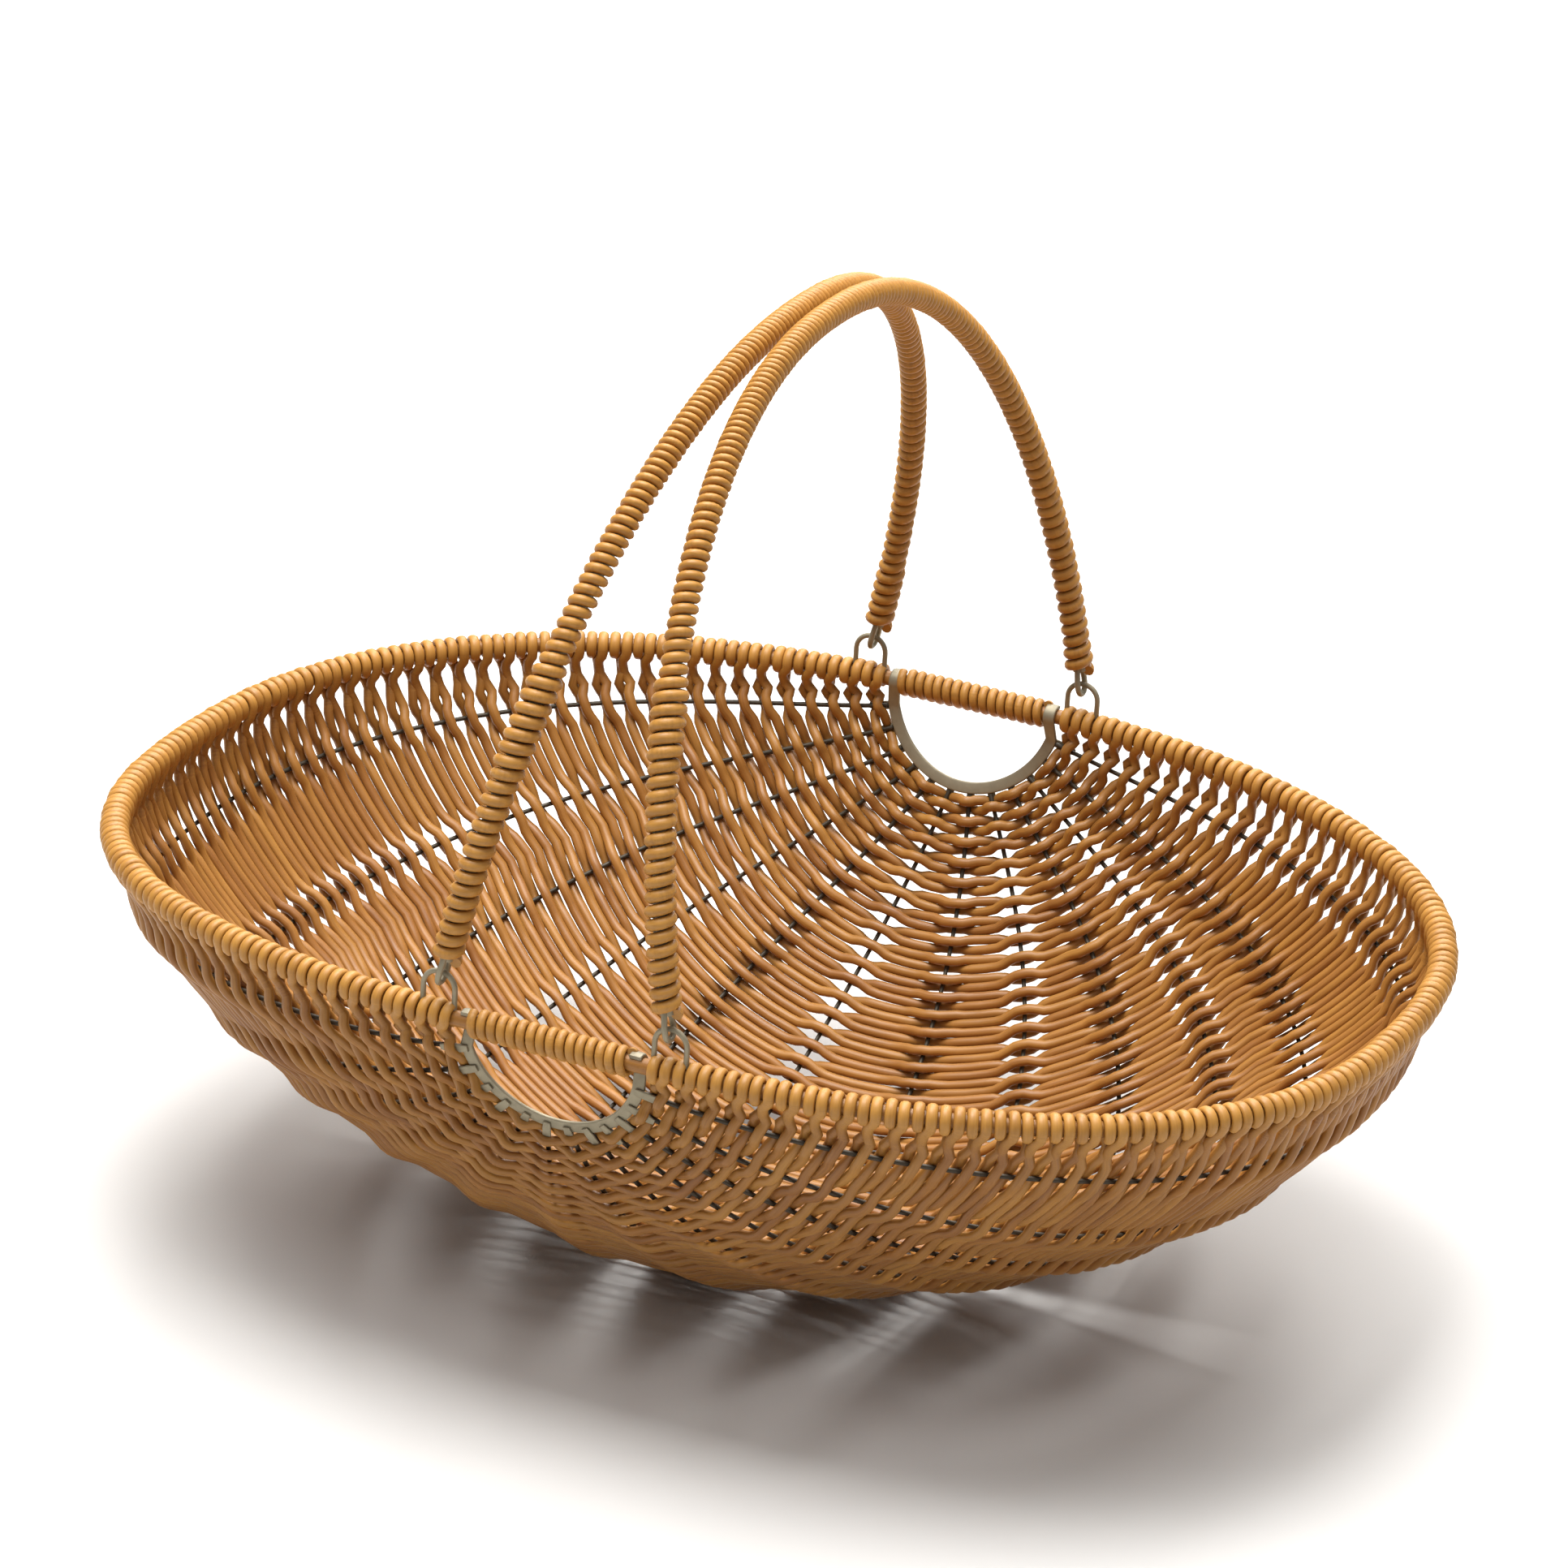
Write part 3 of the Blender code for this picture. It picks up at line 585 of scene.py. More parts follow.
def weave_tree(section):
    """Tree that weaves rows of cane over and under the ribs, with their ends round the hoop."""
    tree, given, result = new_tree(
        "cane_rows", ("Geometry", "Geometry"), ("Strand Width", "Float"), ("Strand Thickness", "Float"),
        ("Wrap Thickness", "Float"), ("Kink Length", "Float"), ("Weave Rise", "Float"),
        ("Wrap Radius", "Float"), ("Fill", "Float"), ("Wrap Fill", "Float"), ("Spread", "Float"),
        ("Pinch", "Float"), ("Unevenness", "Float"), ("Sides", "Int"), ("Squareness", "Float"),
        ("Seed", "Int"), ("Material", "Material"))
    named = {}
    for name in ("row_number", "strand_number", "rib_number", "rib_distance", "rib_gap", "hug", "pitch",
                 "girth", "out_direction", "partner_direction"):
        kind = "FLOAT_VECTOR" if name.endswith("direction") else "FLOAT"
        named[name] = node(tree, "GeometryNodeInputNamedAttribute", {"Name": name}, data_type=kind)

    # 1 where a row passes a rib on the outside and -1 where it passes on the inside
    crossing = node(tree, "ShaderNodeMath", (named["rib_number"], named["row_number"]), operation="ADD")
    turn = node(tree, "ShaderNodeMath", (crossing, math.pi), operation="MULTIPLY")
    side = node(tree, "ShaderNodeMath", (turn,), operation="COSINE")
    half_gap = node(tree, "ShaderNodeMath", (named["rib_gap"], 2.0), operation="DIVIDE")
    kink = node(tree, "ShaderNodeMath", (given["Kink Length"], half_gap), operation="MINIMUM")
    bulge = node(tree, "ShaderNodeMapRange", {
        "Value": named["rib_distance"], "From Min": 0.0, "From Max": kink, "To Min": 1.0,
        "To Max": 0.0}, interpolation_type="SMOOTHSTEP")
    rise = node(tree, "ShaderNodeMath", (bulge, given["Weave Rise"]), operation="MULTIPLY")
    reach = node(tree, "ShaderNodeMapRange", {
        "Value": named["hug"], "To Min": rise, "To Max": given["Wrap Radius"]})
    signed = node(tree, "ShaderNodeMath", (side, reach), operation="MULTIPLY")

    # Strands stray a little, each in its own way, and come closer to their partners at the ribs
    shifted = node(
        tree, "ShaderNodeMath", (named["strand_number"], STRAND_SEED_STEP, given["Seed"]),
        operation="MULTIPLY_ADD")
    noise = node(tree, "ShaderNodeTexNoise", {
        "Vector": node(tree, "GeometryNodeInputPosition"), "W": shifted, "Scale": STRAND_BEND_SCALE,
        "Detail": 1.0}, noise_dimensions="4D")
    centred = node(
        tree, "ShaderNodeVectorMath", (noise.outputs["Color"], (0.5, 0.5, 0.5)), operation="SUBTRACT")
    spread = node(tree, "ShaderNodeMath", (given["Unevenness"], STRAND_BEND_SPREAD), operation="MULTIPLY")
    moves = (
        (named["out_direction"], signed), (centred, spread), (named["partner_direction"], given["Pinch"]))
    lift, stray, pinch = (
        node(tree, "ShaderNodeVectorMath", {0: direction, "Scale": scale}, operation="SCALE")
        for direction, scale in moves)
    offset = node(tree, "ShaderNodeVectorMath", (lift, stray), operation="ADD")
    offset = node(tree, "ShaderNodeVectorMath", (offset, pinch), operation="ADD")
    curve = node(tree, "GeometryNodeMeshToCurve", {"Mesh": given["Geometry"]})
    woven = node(tree, "GeometryNodeSetPosition", {"Geometry": curve, "Offset": offset})

    fill = node(tree, "ShaderNodeMapRange", {
        "Value": named["hug"], "To Min": given["Fill"], "To Max": given["Wrap Fill"]})
    room = node(tree, "ShaderNodeMath", (bulge, given["Spread"], fill), operation="MULTIPLY_ADD")
    widest = node(tree, "ShaderNodeMath", (named["pitch"], room), operation="MULTIPLY")
    width = node(tree, "ShaderNodeMath", (widest, given["Strand Width"]), operation="MINIMUM")
    width = node(tree, "ShaderNodeMath", (width, named["girth"]), operation="MULTIPLY")
    thickness = node(tree, "ShaderNodeMapRange", {
        "Value": named["hug"], "To Min": given["Strand Thickness"], "To Max": given["Wrap Thickness"]})
    thickness = node(tree, "ShaderNodeMath", (thickness, named["girth"]), operation="MULTIPLY")
    tone = node(
        tree, "FunctionNodeRandomValue", {"ID": named["strand_number"], "Seed": given["Seed"]},
        data_type="FLOAT").outputs[1]
    # Cane drawn round the hoop gets a lighter tone here, as painted light on the top of the rim
    tone = node(tree, "ShaderNodeMath", (named["hug"], WOUND_PAINTED_LIGHT, tone), operation="MULTIPLY_ADD")
    swept = node(tree, "GeometryNodeGroup", {
        "Curve": woven, "Out": named["out_direction"], "Width": width, "Thickness": thickness,
        "Sides": given["Sides"], "Squareness": given["Squareness"], "Tone": tone,
        "Material": given["Material"]}, node_tree=section)
    feed(result, (swept,))
    return tree


def winding_tree(section):
    """Tree that winds one strand round a guide line, whose points say how close the turns lie."""
    tree, given, result = new_tree(
        "cane_winding", ("Geometry", "Geometry"), ("Turns", "Float"), ("Points per Turn", "Int"),
        ("Fill", "Float"), ("Strand Thickness", "Float"), ("Unevenness", "Float"),
        ("Sides", "Int"), ("Squareness", "Float"), ("Seed", "Int"), ("Material", "Material"))
    guide = node(tree, "GeometryNodeMeshToCurve", {"Mesh": given["Geometry"]})
    last = node(tree, "ShaderNodeMath", (given["Turns"], given["Points per Turn"]), operation="MULTIPLY")
    count = node(tree, "ShaderNodeMath", (last, 1.0), operation="ADD")
    line = node(tree, "GeometryNodeCurvePrimitiveLine")
    strand = node(tree, "GeometryNodeResampleCurve", {"Curve": line, "Count": count})
    share = node(
        tree, "ShaderNodeMath", (node(tree, "GeometryNodeInputIndex"), last), operation="DIVIDE")

    # The first value says where along the guide a share of all turns is reached
    sampled = {}
    place = share
    for name in ("turn_place", "core_radius", "pitch", "out_direction"):
        kind = "FLOAT_VECTOR" if name.endswith("direction") else "FLOAT"
        value = node(tree, "GeometryNodeInputNamedAttribute", {"Name": name}, data_type=kind)
        sampled[name] = node(
            tree, "GeometryNodeSampleCurve", {"Curves": guide, "Value": value, "Factor": place},
            mode="FACTOR", data_type=kind)
        place = sampled["turn_place"]
    centre = sampled["core_radius"].outputs["Position"]
    tangent = sampled["core_radius"].outputs["Tangent"]
    across = sampled["out_direction"]
    beside = node(tree, "ShaderNodeVectorMath", (tangent, across), operation="CROSS_PRODUCT")
    beside = node(tree, "ShaderNodeVectorMath", (beside,), operation="NORMALIZE")
    turn = node(tree, "ShaderNodeMath", (share, given["Turns"]), operation="MULTIPLY")
    angle = node(tree, "ShaderNodeMath", (turn, 2 * math.pi), operation="MULTIPLY")
    radial = []
    for direction, operation in ((across, "COSINE"), (beside, "SINE")):
        scale = node(tree, "ShaderNodeMath", (angle,), operation=operation)
        radial.append(
            node(tree, "ShaderNodeVectorMath", {0: direction, "Scale": scale}, operation="SCALE"))
    radial = node(tree, "ShaderNodeVectorMath", radial, operation="ADD")

    shifted = node(tree, "ShaderNodeMath", (turn, given["Seed"]), operation="ADD")
    noise = node(
        tree, "ShaderNodeTexNoise", {"W": shifted, "Scale": TURN_BEND_SCALE, "Detail": 1.0},
        noise_dimensions="1D")
    parts = node(tree, "ShaderNodeSeparateXYZ", (noise.outputs["Color"],))
    strays = []
    for axis in ("X", "Y"):
        centred = node(tree, "ShaderNodeMath", (parts.outputs[axis], 0.5), operation="SUBTRACT")
        strays.append(node(tree, "ShaderNodeMath", (centred, given["Unevenness"]), operation="MULTIPLY"))
    thickness = node(
        tree, "ShaderNodeMath", (given["Strand Thickness"], sampled["pitch"]), operation="MINIMUM")
    half = node(tree, "ShaderNodeMath", (thickness, 2.0), operation="DIVIDE")
    radius = node(tree, "ShaderNodeMath", (sampled["core_radius"], half), operation="ADD")
    radius = node(tree, "ShaderNodeMath", (radius, strays[0]), operation="ADD")
    offsets = [
        node(tree, "ShaderNodeVectorMath", {0: direction, "Scale": scale}, operation="SCALE")
        for direction, scale in ((radial, radius), (tangent, strays[1]))]
    offset = node(tree, "ShaderNodeVectorMath", offsets, operation="ADD")
    place = node(tree, "ShaderNodeVectorMath", (centre, offset), operation="ADD")
    wound = node(tree, "GeometryNodeSetPosition", {"Geometry": strand, "Position": place})
    width = node(tree, "ShaderNodeMath", (sampled["pitch"], given["Fill"]), operation="MULTIPLY")
    # Wound cane gets a lighter tone, as painted light on the rim and the handles
    tone = node(tree, "ShaderNodeMath", (parts.outputs["Z"], WOUND_PAINTED_LIGHT), operation="ADD")
    swept = node(tree, "GeometryNodeGroup", {
        "Curve": wound, "Out": radial, "Width": width, "Thickness": thickness,
        "Sides": given["Sides"], "Squareness": given["Squareness"], "Tone": tone,
        "Material": given["Material"]}, node_tree=section)
    feed(result, (swept,))
    return tree


def tree_of(name):
    """Node tree of that name, made with the others at its first use."""
    if name not in bpy.data.node_groups:
        section = section_tree()
        wire_tree(section)
        weave_tree(section)
        winding_tree(section)
    return bpy.data.node_groups[name]


def grow(name, guide, tree_name, **inputs):
    """Run a node tree on a guide mesh, and keep the result as one plain piece."""
    tree = tree_of(tree_name)
    holder = bpy.data.objects.new(name + "_guide", guide)
    bpy.context.scene.collection.objects.link(holder)
    modifier = holder.modifiers.new("grow", "NODES")
    modifier.node_group = tree
    for item in tree.interface.items_tree:
        key = item.name.lower().replace(" ", "_")
        if item.in_out == "INPUT" and key in inputs:
            modifier[item.identifier] = inputs[key]
    bpy.context.view_layer.update()
    evaluated = holder.evaluated_get(bpy.context.evaluated_depsgraph_get())
    mesh = bpy.data.meshes.new_from_object(evaluated)
    bpy.data.objects.remove(holder)
    piece = bpy.data.objects.new(name, mesh)
    bpy.context.scene.collection.objects.link(piece)
    if not mesh.polygons:
        raise RuntimeError(f"{name} came out empty")
    return piece


def draw_wires(
        name, lines, width, thickness, material, sides=WIRE_SIDES, squareness=ROUND, closed=False):
    """Draw wires, rods or strips along guide lines, as one piece."""
    return grow(
        name, guide_mesh(name, lines, closed), "steel_wire", width=width, thickness=thickness,
        sides=sides, squareness=squareness, material=material)


def wind(name, points, across, core_radius, pitch, thickness, seed):
    """Wind a strand of cane round a line, with a core radius and a spacing of turns at each point."""
    settings = bpy.context.scene.basket_cane
    lengths = lengths_along(points)
    steps = np.diff(lengths) * 2 / (pitch[1:] + pitch[:-1])
    turns = np.concatenate([[0], np.cumsum(steps)])
    shares = lengths / lengths[-1]
    guide = guide_mesh(name, [{
        "points": points, "out_direction": across, "core_radius": core_radius, "pitch": pitch,
        "turn_place": np.interp(shares, turns / turns[-1], shares)}])
    return grow(
        name, guide, "cane_winding", turns=float(round(turns[-1])), points_per_turn=TURN_STEPS,
        fill=settings.wrap_fill_share, strand_thickness=thickness, unevenness=settings.unevenness,
        sides=STRAND_SIDES, squareness=ROUND, seed=seed, material=cane_material())


def settle(piece, body, slot, *nodes):
    """Put a piece on its body, in place of its nodes. The slot is not used."""
    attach(piece, body)
    if nodes:
        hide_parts(*nodes)


def new_material(name):
    """New material, with its node tree and its shader."""
    material = bpy.data.materials.new(name)
    material.use_nodes = True
    return material, material.node_tree, material.node_tree.nodes["Principled BSDF"]


def cane_material():
    """Extruded polyethylene cane.

    It has a soft satin shine and fine lines along each strand, and the strands differ a little in
    colour, from yellow to red brown. Wound cane is painted lighter, as painted light on the rim and the
    handles.
    """
    if "polyethylene_cane" in bpy.data.materials:
        return bpy.data.materials["polyethylene_cane"]
    settings = bpy.context.scene.basket_cane
    material, tree, shader = new_material("polyethylene_cane")
    place = node(tree, "ShaderNodeAttribute", attribute_name="strand_place").outputs["Vector"]
    tone = node(tree, "ShaderNodeAttribute", attribute_name="strand_tone").outputs["Fac"]
    # Every strand has its own stretch of the pattern
    shifted = node(tree, "ShaderNodeMath", (tone, PATTERN_SHIFT), operation="MULTIPLY")
    patterns = []
    for scale in (LINE_SCALE, BLOTCH_SCALE):
        pattern_place = node(tree, "ShaderNodeMapping", {"Vector": place, "Scale": scale})
        pattern = node(tree, "ShaderNodeTexNoise", {
            "Vector": pattern_place, "W": shifted, "Scale": 1.0, "Detail": 2.0}, noise_dimensions="4D")
        patterns.append(pattern.outputs["Fac"])
    lines, blotches = patterns
    mixed = node(tree, "ShaderNodeMath", (lines, LINE_SHARE), operation="MULTIPLY")
    mixed = node(tree, "ShaderNodeMath", (blotches, BLOTCH_SHARE, mixed), operation="MULTIPLY_ADD")
    # A strand's tone holds its own random tone and, on wound cane, painted light that makes it lighter
    mixed = node(tree, "ShaderNodeMath", (tone, TONE_SHARE, mixed), operation="MULTIPLY_ADD")
    darkest, lightest = LIGHTNESS_SHARES
    share = node(tree, "ShaderNodeMapRange", {"Value": mixed, "From Min": darkest, "From Max": lightest})
    # Inputs 0, 6 and 7 and output 2 are those of a mix of colours
    colour = node(tree, "ShaderNodeMix", {
        0: share, 6: tuple(settings.dark_colour), 7: tuple(settings.light_colour)}, data_type="RGBA")
    hue = node(tree, "ShaderNodeMapRange", {"Value": tone, "To Min": 0.498, "To Max": 0.502})
    tinted = node(tree, "ShaderNodeHueSaturation", {"Hue": hue, "Color": colour.outputs[2]})
    roughness = node(tree, "ShaderNodeMapRange", {"Value": blotches, "To Min": 0.38, "To Max": 0.54})
    bump = node(tree, "ShaderNodeBump", {"Strength": 0.35, "Distance": 0.0002, "Height": lines})
    feed(shader, {
        "Base Color": tinted, "Roughness": roughness, "Normal": bump, "IOR": 1.51,
        "Specular IOR Level": 0.4})
    return material


def steel_material(name="dull_zinc_steel"):
    """Drawn steel wire, zinc plated and dulled by age, or the darker wire of the ribs.

    It is grey with an olive cast, and its zinc has gone matt in patches a few millimetres across.
    """
    if name in bpy.data.materials:
        return bpy.data.materials[name]
    settings = bpy.context.scene.basket_steel
    base = settings.rib_colour if name == RIB_STEEL else settings.colour
    tarnished = [share * TARNISH_SHARE for share in base[:3]]
    material, tree, shader = new_material(name)
    place = node(tree, "ShaderNodeTexCoord").outputs["Object"]
    patches = node(
        tree, "ShaderNodeTexNoise", {"Vector": place, "Scale": PATCH_SCALE, "Detail": 3.0}).outputs["Fac"]
    colour = node(
        tree, "ShaderNodeMix", {0: patches, 6: (*tarnished, 1), 7: tuple(base)}, data_type="RGBA")
    roughness = node(tree, "ShaderNodeMapRange", {"Value": patches, "To Min": 0.7, "To Max": 0.45})
    bump = node(tree, "ShaderNodeBump", {"Strength": 0.3, "Distance": 0.0001, "Height": patches})
    feed(shader, {
        "Base Color": colour.outputs[2], "Roughness": roughness, "Normal": bump, "Metallic": 0.55})
    return material


def row_places(count):
    """Fractions of a line at which evenly spaced rows lie."""
    return (np.arange(count) + 1 / 2) / count


def eased(shares):
    """Shares that leave 0 and reach 1 gently."""
    shares = np.clip(shares, 0, 1)
    return shares * shares * (3 - 2 * shares)


def wall_stations(count, spacing):
    """Places among the ribs, the share of the line that one row takes there, and theta and phi.

    theta and phi have a column for every row, and one more for the line midway between the holes.
    Rows lie no closer than the spacing, so that the last ones end at the midway line where a rib is
    too short for them.
    """
    even = np.append(row_places(count), 1 / 2)
    places = np.array([rib + share for rib in range(RIB_COUNT + 1) for share in STATION_SHARES]
                      + [RIB_COUNT + 1])
    row_shares = np.full(len(places), 1 / count)
    theta = np.zeros((len(places), count + 1))
    phi = np.zeros((len(places), count + 1))
    for step, place in enumerate(places):
        if 1 <= place <= RIB_COUNT:
            length = lengths_along(wall_points(*wall_line(place, np.linspace(0, 1, LINE_STEPS))))[-1]
            row_shares[step] = max(spacing / length, 1 / count)
            from_front = np.minimum(even * count * row_shares[step], 1 / 2)
            from_back = np.maximum(1 - (1 - even) * count * row_shares[step], 1 / 2)
            theta[step], phi[step] = wall_line(place, np.where(even < 1 / 2, from_front, from_back))
    for side, hoop, rib in ((1, 0, 1), (-1, RIB_COUNT + 1, RIB_COUNT)):
        border = (places - hoop) * (places - rib) < 0
        border |= places == hoop
        shares = np.abs(places[border] - hoop)[:, None]
        rim_theta, rim_phi = rim_line(side, even)
        theta[border] = rim_theta + (theta[places == rib] - rim_theta) * shares
        phi[border] = rim_phi + (phi[places == rib] - rim_phi) * shares ** RIM_FAN_EXPONENT
    return places, row_shares, theta, phi


def strand_paths(count, row_shares):
    """Strands as the sides of the hoop that they start and end on, their stations and their rows.

    A row that has room on every rib runs from one side of the hoop to the other. A row that has
    none on the shorter ribs turns back at the midway line, and comes up again as the row opposite.
    """
    last = len(row_shares) - 1
    paths = []
    for row in range(count // 2):
        opposite = count - 1 - row
        room = (row + 1) * row_shares <= 1 / 2
        if room.all():
            stations = np.arange(1, last)
            paths += [(1, -1, stations, np.full(last - 1, own)) for own in (row, opposite)]
        else:
            down = np.arange(1, int(np.argmin(room)))
            stations = np.concatenate([down, [down[-1] + 1], down[::-1]])
            own = np.concatenate([np.full(len(down), row), [count], np.full(len(down), opposite)])
            paths += [(1, 1, stations, own), (-1, -1, last - stations, own)]
    return paths


def wrap_part(side, fractions):
    """Feet and directions of the turn that each row's end takes round the hoop."""
    points, outward = rim_frame(side, fractions)
    nearest_rib = 1 if side == 1 else RIB_COUNT
    signs = np.cos(math.pi * (nearest_rib + np.arange(len(fractions))))
    angles = np.linspace(WRAP_START, WRAP_END, WRAP_STEPS)[:, None, None]
    radial = -signs[:, None] * outward * np.sin(angles) + np.array((0, 0, 1)) * np.cos(angles)
    feet = np.broadcast_to(points, radial.shape)
    return feet, radial * signs[:, None]


def with_wraps(start, middle, end):
    """Values along a strand, which keep their first and last over the turns round the hoop."""
    return np.concatenate([np.full(WRAP_STEPS, start), middle, np.full(WRAP_STEPS, end)]).astype(float)


def rounded_girths(count):
    """Girth shares along a strand, drawn in at either end."""
    girths = np.ones(count)
    for step, share in enumerate(END_GIRTH_SHARES):
        girths[step] = share
        girths[-1 - step] = share
    return girths


def openness(places, fractions, rib_gap):
    """How far the weave opens at each station and row, as a share of the most it could."""
    front, middle, back = (
        np.interp(places, OPENNESS_PLACES, shares)[:, None] for shares in OPENNESS_SHARES)
    to_middle = np.interp(fractions, OPENNESS_FRACTIONS[:2], (0, 1))
    to_back = np.interp(fractions, OPENNESS_FRACTIONS[1:], (0, 1))
    shares = front * (1 - to_middle) + middle * (to_middle - to_back) + back * to_back
    return shares * np.interp(rib_gap, CLOSE_RIB_GAPS, CLOSE_RIB_SHARES)


def pinch_at(distance, length):
    """Share of the way to its partner that a row moves, at a distance from where they meet."""
    return eased(PINCH_STEEPNESS * (1 - distance / length))


def row_tables(count, spacing):
    """What the weave needs of every row at every station, by name, and the share a row takes there."""
    fractions = row_places(count)
    places, row_shares, theta, phi = wall_stations(count, spacing)
    feet = wall_points(theta, phi)
    steps = np.linalg.norm(np.diff(feet, axis=0), axis=2)
    lengths = np.concatenate([np.zeros((1, count + 1)), np.cumsum(steps, axis=0)])
    rib_stations = [int(np.argmin(np.abs(places - number))) for number in range(RIB_COUNT + 2)]
    gaps = np.diff(lengths[rib_stations], axis=0)
    interval = np.clip(np.floor(places).astype(int), 0, RIB_COUNT)
    nearest = np.clip(np.round(places).astype(int), 1, RIB_COUNT)
    rib_distance = np.abs(lengths - lengths[rib_stations][nearest])
    rib_gap = gaps[interval]
    hoop_distance = np.minimum(lengths, lengths[-1] - lengths)
    border_length = np.where((interval < RIB_COUNT / 2)[:, None], gaps[0], gaps[-1])
    hug = eased(1 - hoop_distance / np.minimum(HUG_LENGTH, border_length * HUG_SHARE))
    normals = wall_normals(theta, phi)
    for side, chosen in ((1, places < 1), (-1, places > RIB_COUNT)):
        outward = np.concatenate([rim_frame(side, fractions)[1], [(side, 0, 0)]])
        share = hug[chosen][..., None]
        normals[chosen] = unit(outward * share + normals[chosen] * (1 - share))
    along = unit(np.gradient(feet[:, :count], axis=0))
    pitch = np.linalg.norm(np.cross(np.gradient(feet[:, :count], axis=1), along), axis=2)
    pitch = np.concatenate([pitch, pitch[:, count // 2, None]], axis=1)

    # Every even row is paired with the next one, and half their distance is how far each may move
    partners = np.arange(count) + 1 - 2 * (np.arange(count) % 2)
    rib_pinch = pinch_at(rib_distance, np.minimum(PINCH_LENGTH, rib_gap * PINCH_SHARE))
    rib_pinch = rib_pinch * openness(places, np.append(fractions, 1 / 2), rib_gap)
    hoop_depth = np.minimum(HOOP_PINCH_DEPTH, border_length * HOOP_PINCH_DEPTH_SHARE)
    hoop_pinch = pinch_at(
        np.abs(hoop_distance - hoop_depth),
        np.minimum(HOOP_PINCH_LENGTH, border_length * HOOP_PINCH_LENGTH_SHARE))
    pinch = np.maximum(rib_pinch, hoop_pinch * HOOP_PINCH_SHARE)
    to_partners = (feet[:, [*partners, count]] - feet) / 2 * pinch[..., None]
    return {
        "points": feet, "out_direction": normals, "partner_direction": to_partners, "hug": hug,
        "rib_number": np.broadcast_to(nearest[:, None], hug.shape), "rib_distance": rib_distance,
        "rib_gap": rib_gap, "pitch": pitch}, row_shares


def row_lines(count, spacing):
    """Guide lines of all strands, each with the number of its first row."""
    tables, row_shares = row_tables(count, spacing)
    wraps = {side: wrap_part(side, row_places(count)) for side in (1, -1)}
    rims = {1: 0, -1: -1}
    still = np.zeros((WRAP_STEPS, 3))
    lines = []
    for number, (start, end, stations, own) in enumerate(strand_paths(count, row_shares)):
        start_feet, start_directions = (part[:, own[0]] for part in wraps[start])
        end_feet, end_directions = (part[::-1, own[-1]] for part in wraps[end])
        wrapped = {
            "points": (start_feet, end_feet), "out_direction": (start_directions, end_directions),
            "partner_direction": (still, still)}
        line = {"row_number": with_wraps(own[0], np.where(own == count, own[0], own), own[-1])}
        for name, table in tables.items():
            if name in wrapped:
                first, last = wrapped[name]
                line[name] = np.concatenate([first, table[stations, own], last])
            else:
                line[name] = with_wraps(
                    table[rims[start], own[0]], table[stations, own], table[rims[end], own[-1]])
        line["strand_number"] = np.full(len(line["points"]), float(number))
        line["girth"] = rounded_girths(len(line["points"]))
        lines.append((own[0], line))
    return lines


class BASKET_OT_rows(bpy.types.Operator):
    """Weave the rows of cane over and under the ribs, with their ends round the hoop"""

    bl_idname = "basket.rows"
    bl_label = "Weave Rows"

    def execute(self, context):
        settings = context.scene.basket_cane
        rise = context.scene.basket_steel.rib_radius + settings.strand_thickness / 2
        lines = row_lines(settings.row_count, settings.row_spacing)
        starts = [round(settings.row_count * share) for *_, share in ROW_GROUPS]
        ends = [*starts[1:], settings.row_count]
        for (name, first_band, last_band, _), first, end in zip(ROW_GROUPS, starts, ends):
            guide = guide_mesh(f"{name}_rows", [line for row, line in lines if first <= row < end])
            piece = grow(
                f"{name}_cane_rows", guide, "cane_rows", strand_width=settings.strand_width,
                strand_thickness=settings.strand_thickness, wrap_thickness=settings.wrap_thickness,
                kink_length=settings.kink_length, weave_rise=rise,
                wrap_radius=settings.hoop_radius + settings.wrap_thickness / 2, fill=settings.fill_share,
                wrap_fill=settings.wrap_fill_share, spread=settings.spread_share,
                pinch=settings.pinch_share, unevenness=settings.unevenness, sides=STRAND_SIDES,
                squareness=ROUND, seed=ROW_SEED, material=cane_material())
            bands = [f"weaver_band_{band:02d}" for band in range(first_band, last_band + 1)]
            settle(piece, "basket", "cane_brown", *bands)
        return {"FINISHED"}


class BASKET_OT_ribs(bpy.types.Operator):
    """Draw the wire ribs from the front hand hole to the back one"""

    bl_idname = "basket.ribs"
    bl_label = "Draw Ribs"

    def execute(self, context):
        lines = []
        nodes = []
        for number in range(1, RIB_COUNT + 1):
            angles = wall_line(number, np.linspace(0, 1, RIB_STEPS))
            lines.append(guide_line(wall_points(*angles), wall_normals(*angles)))
            nodes.append(f"rib_wire_{number:02d}")
        size = 2 * context.scene.basket_steel.rib_radius
        ribs = draw_wires("rib_wires", lines, size, size, steel_material(RIB_STEEL), sides=RIB_SIDES)
        settle(ribs, "basket", "dull_steel", *nodes)
        return {"FINISHED"}


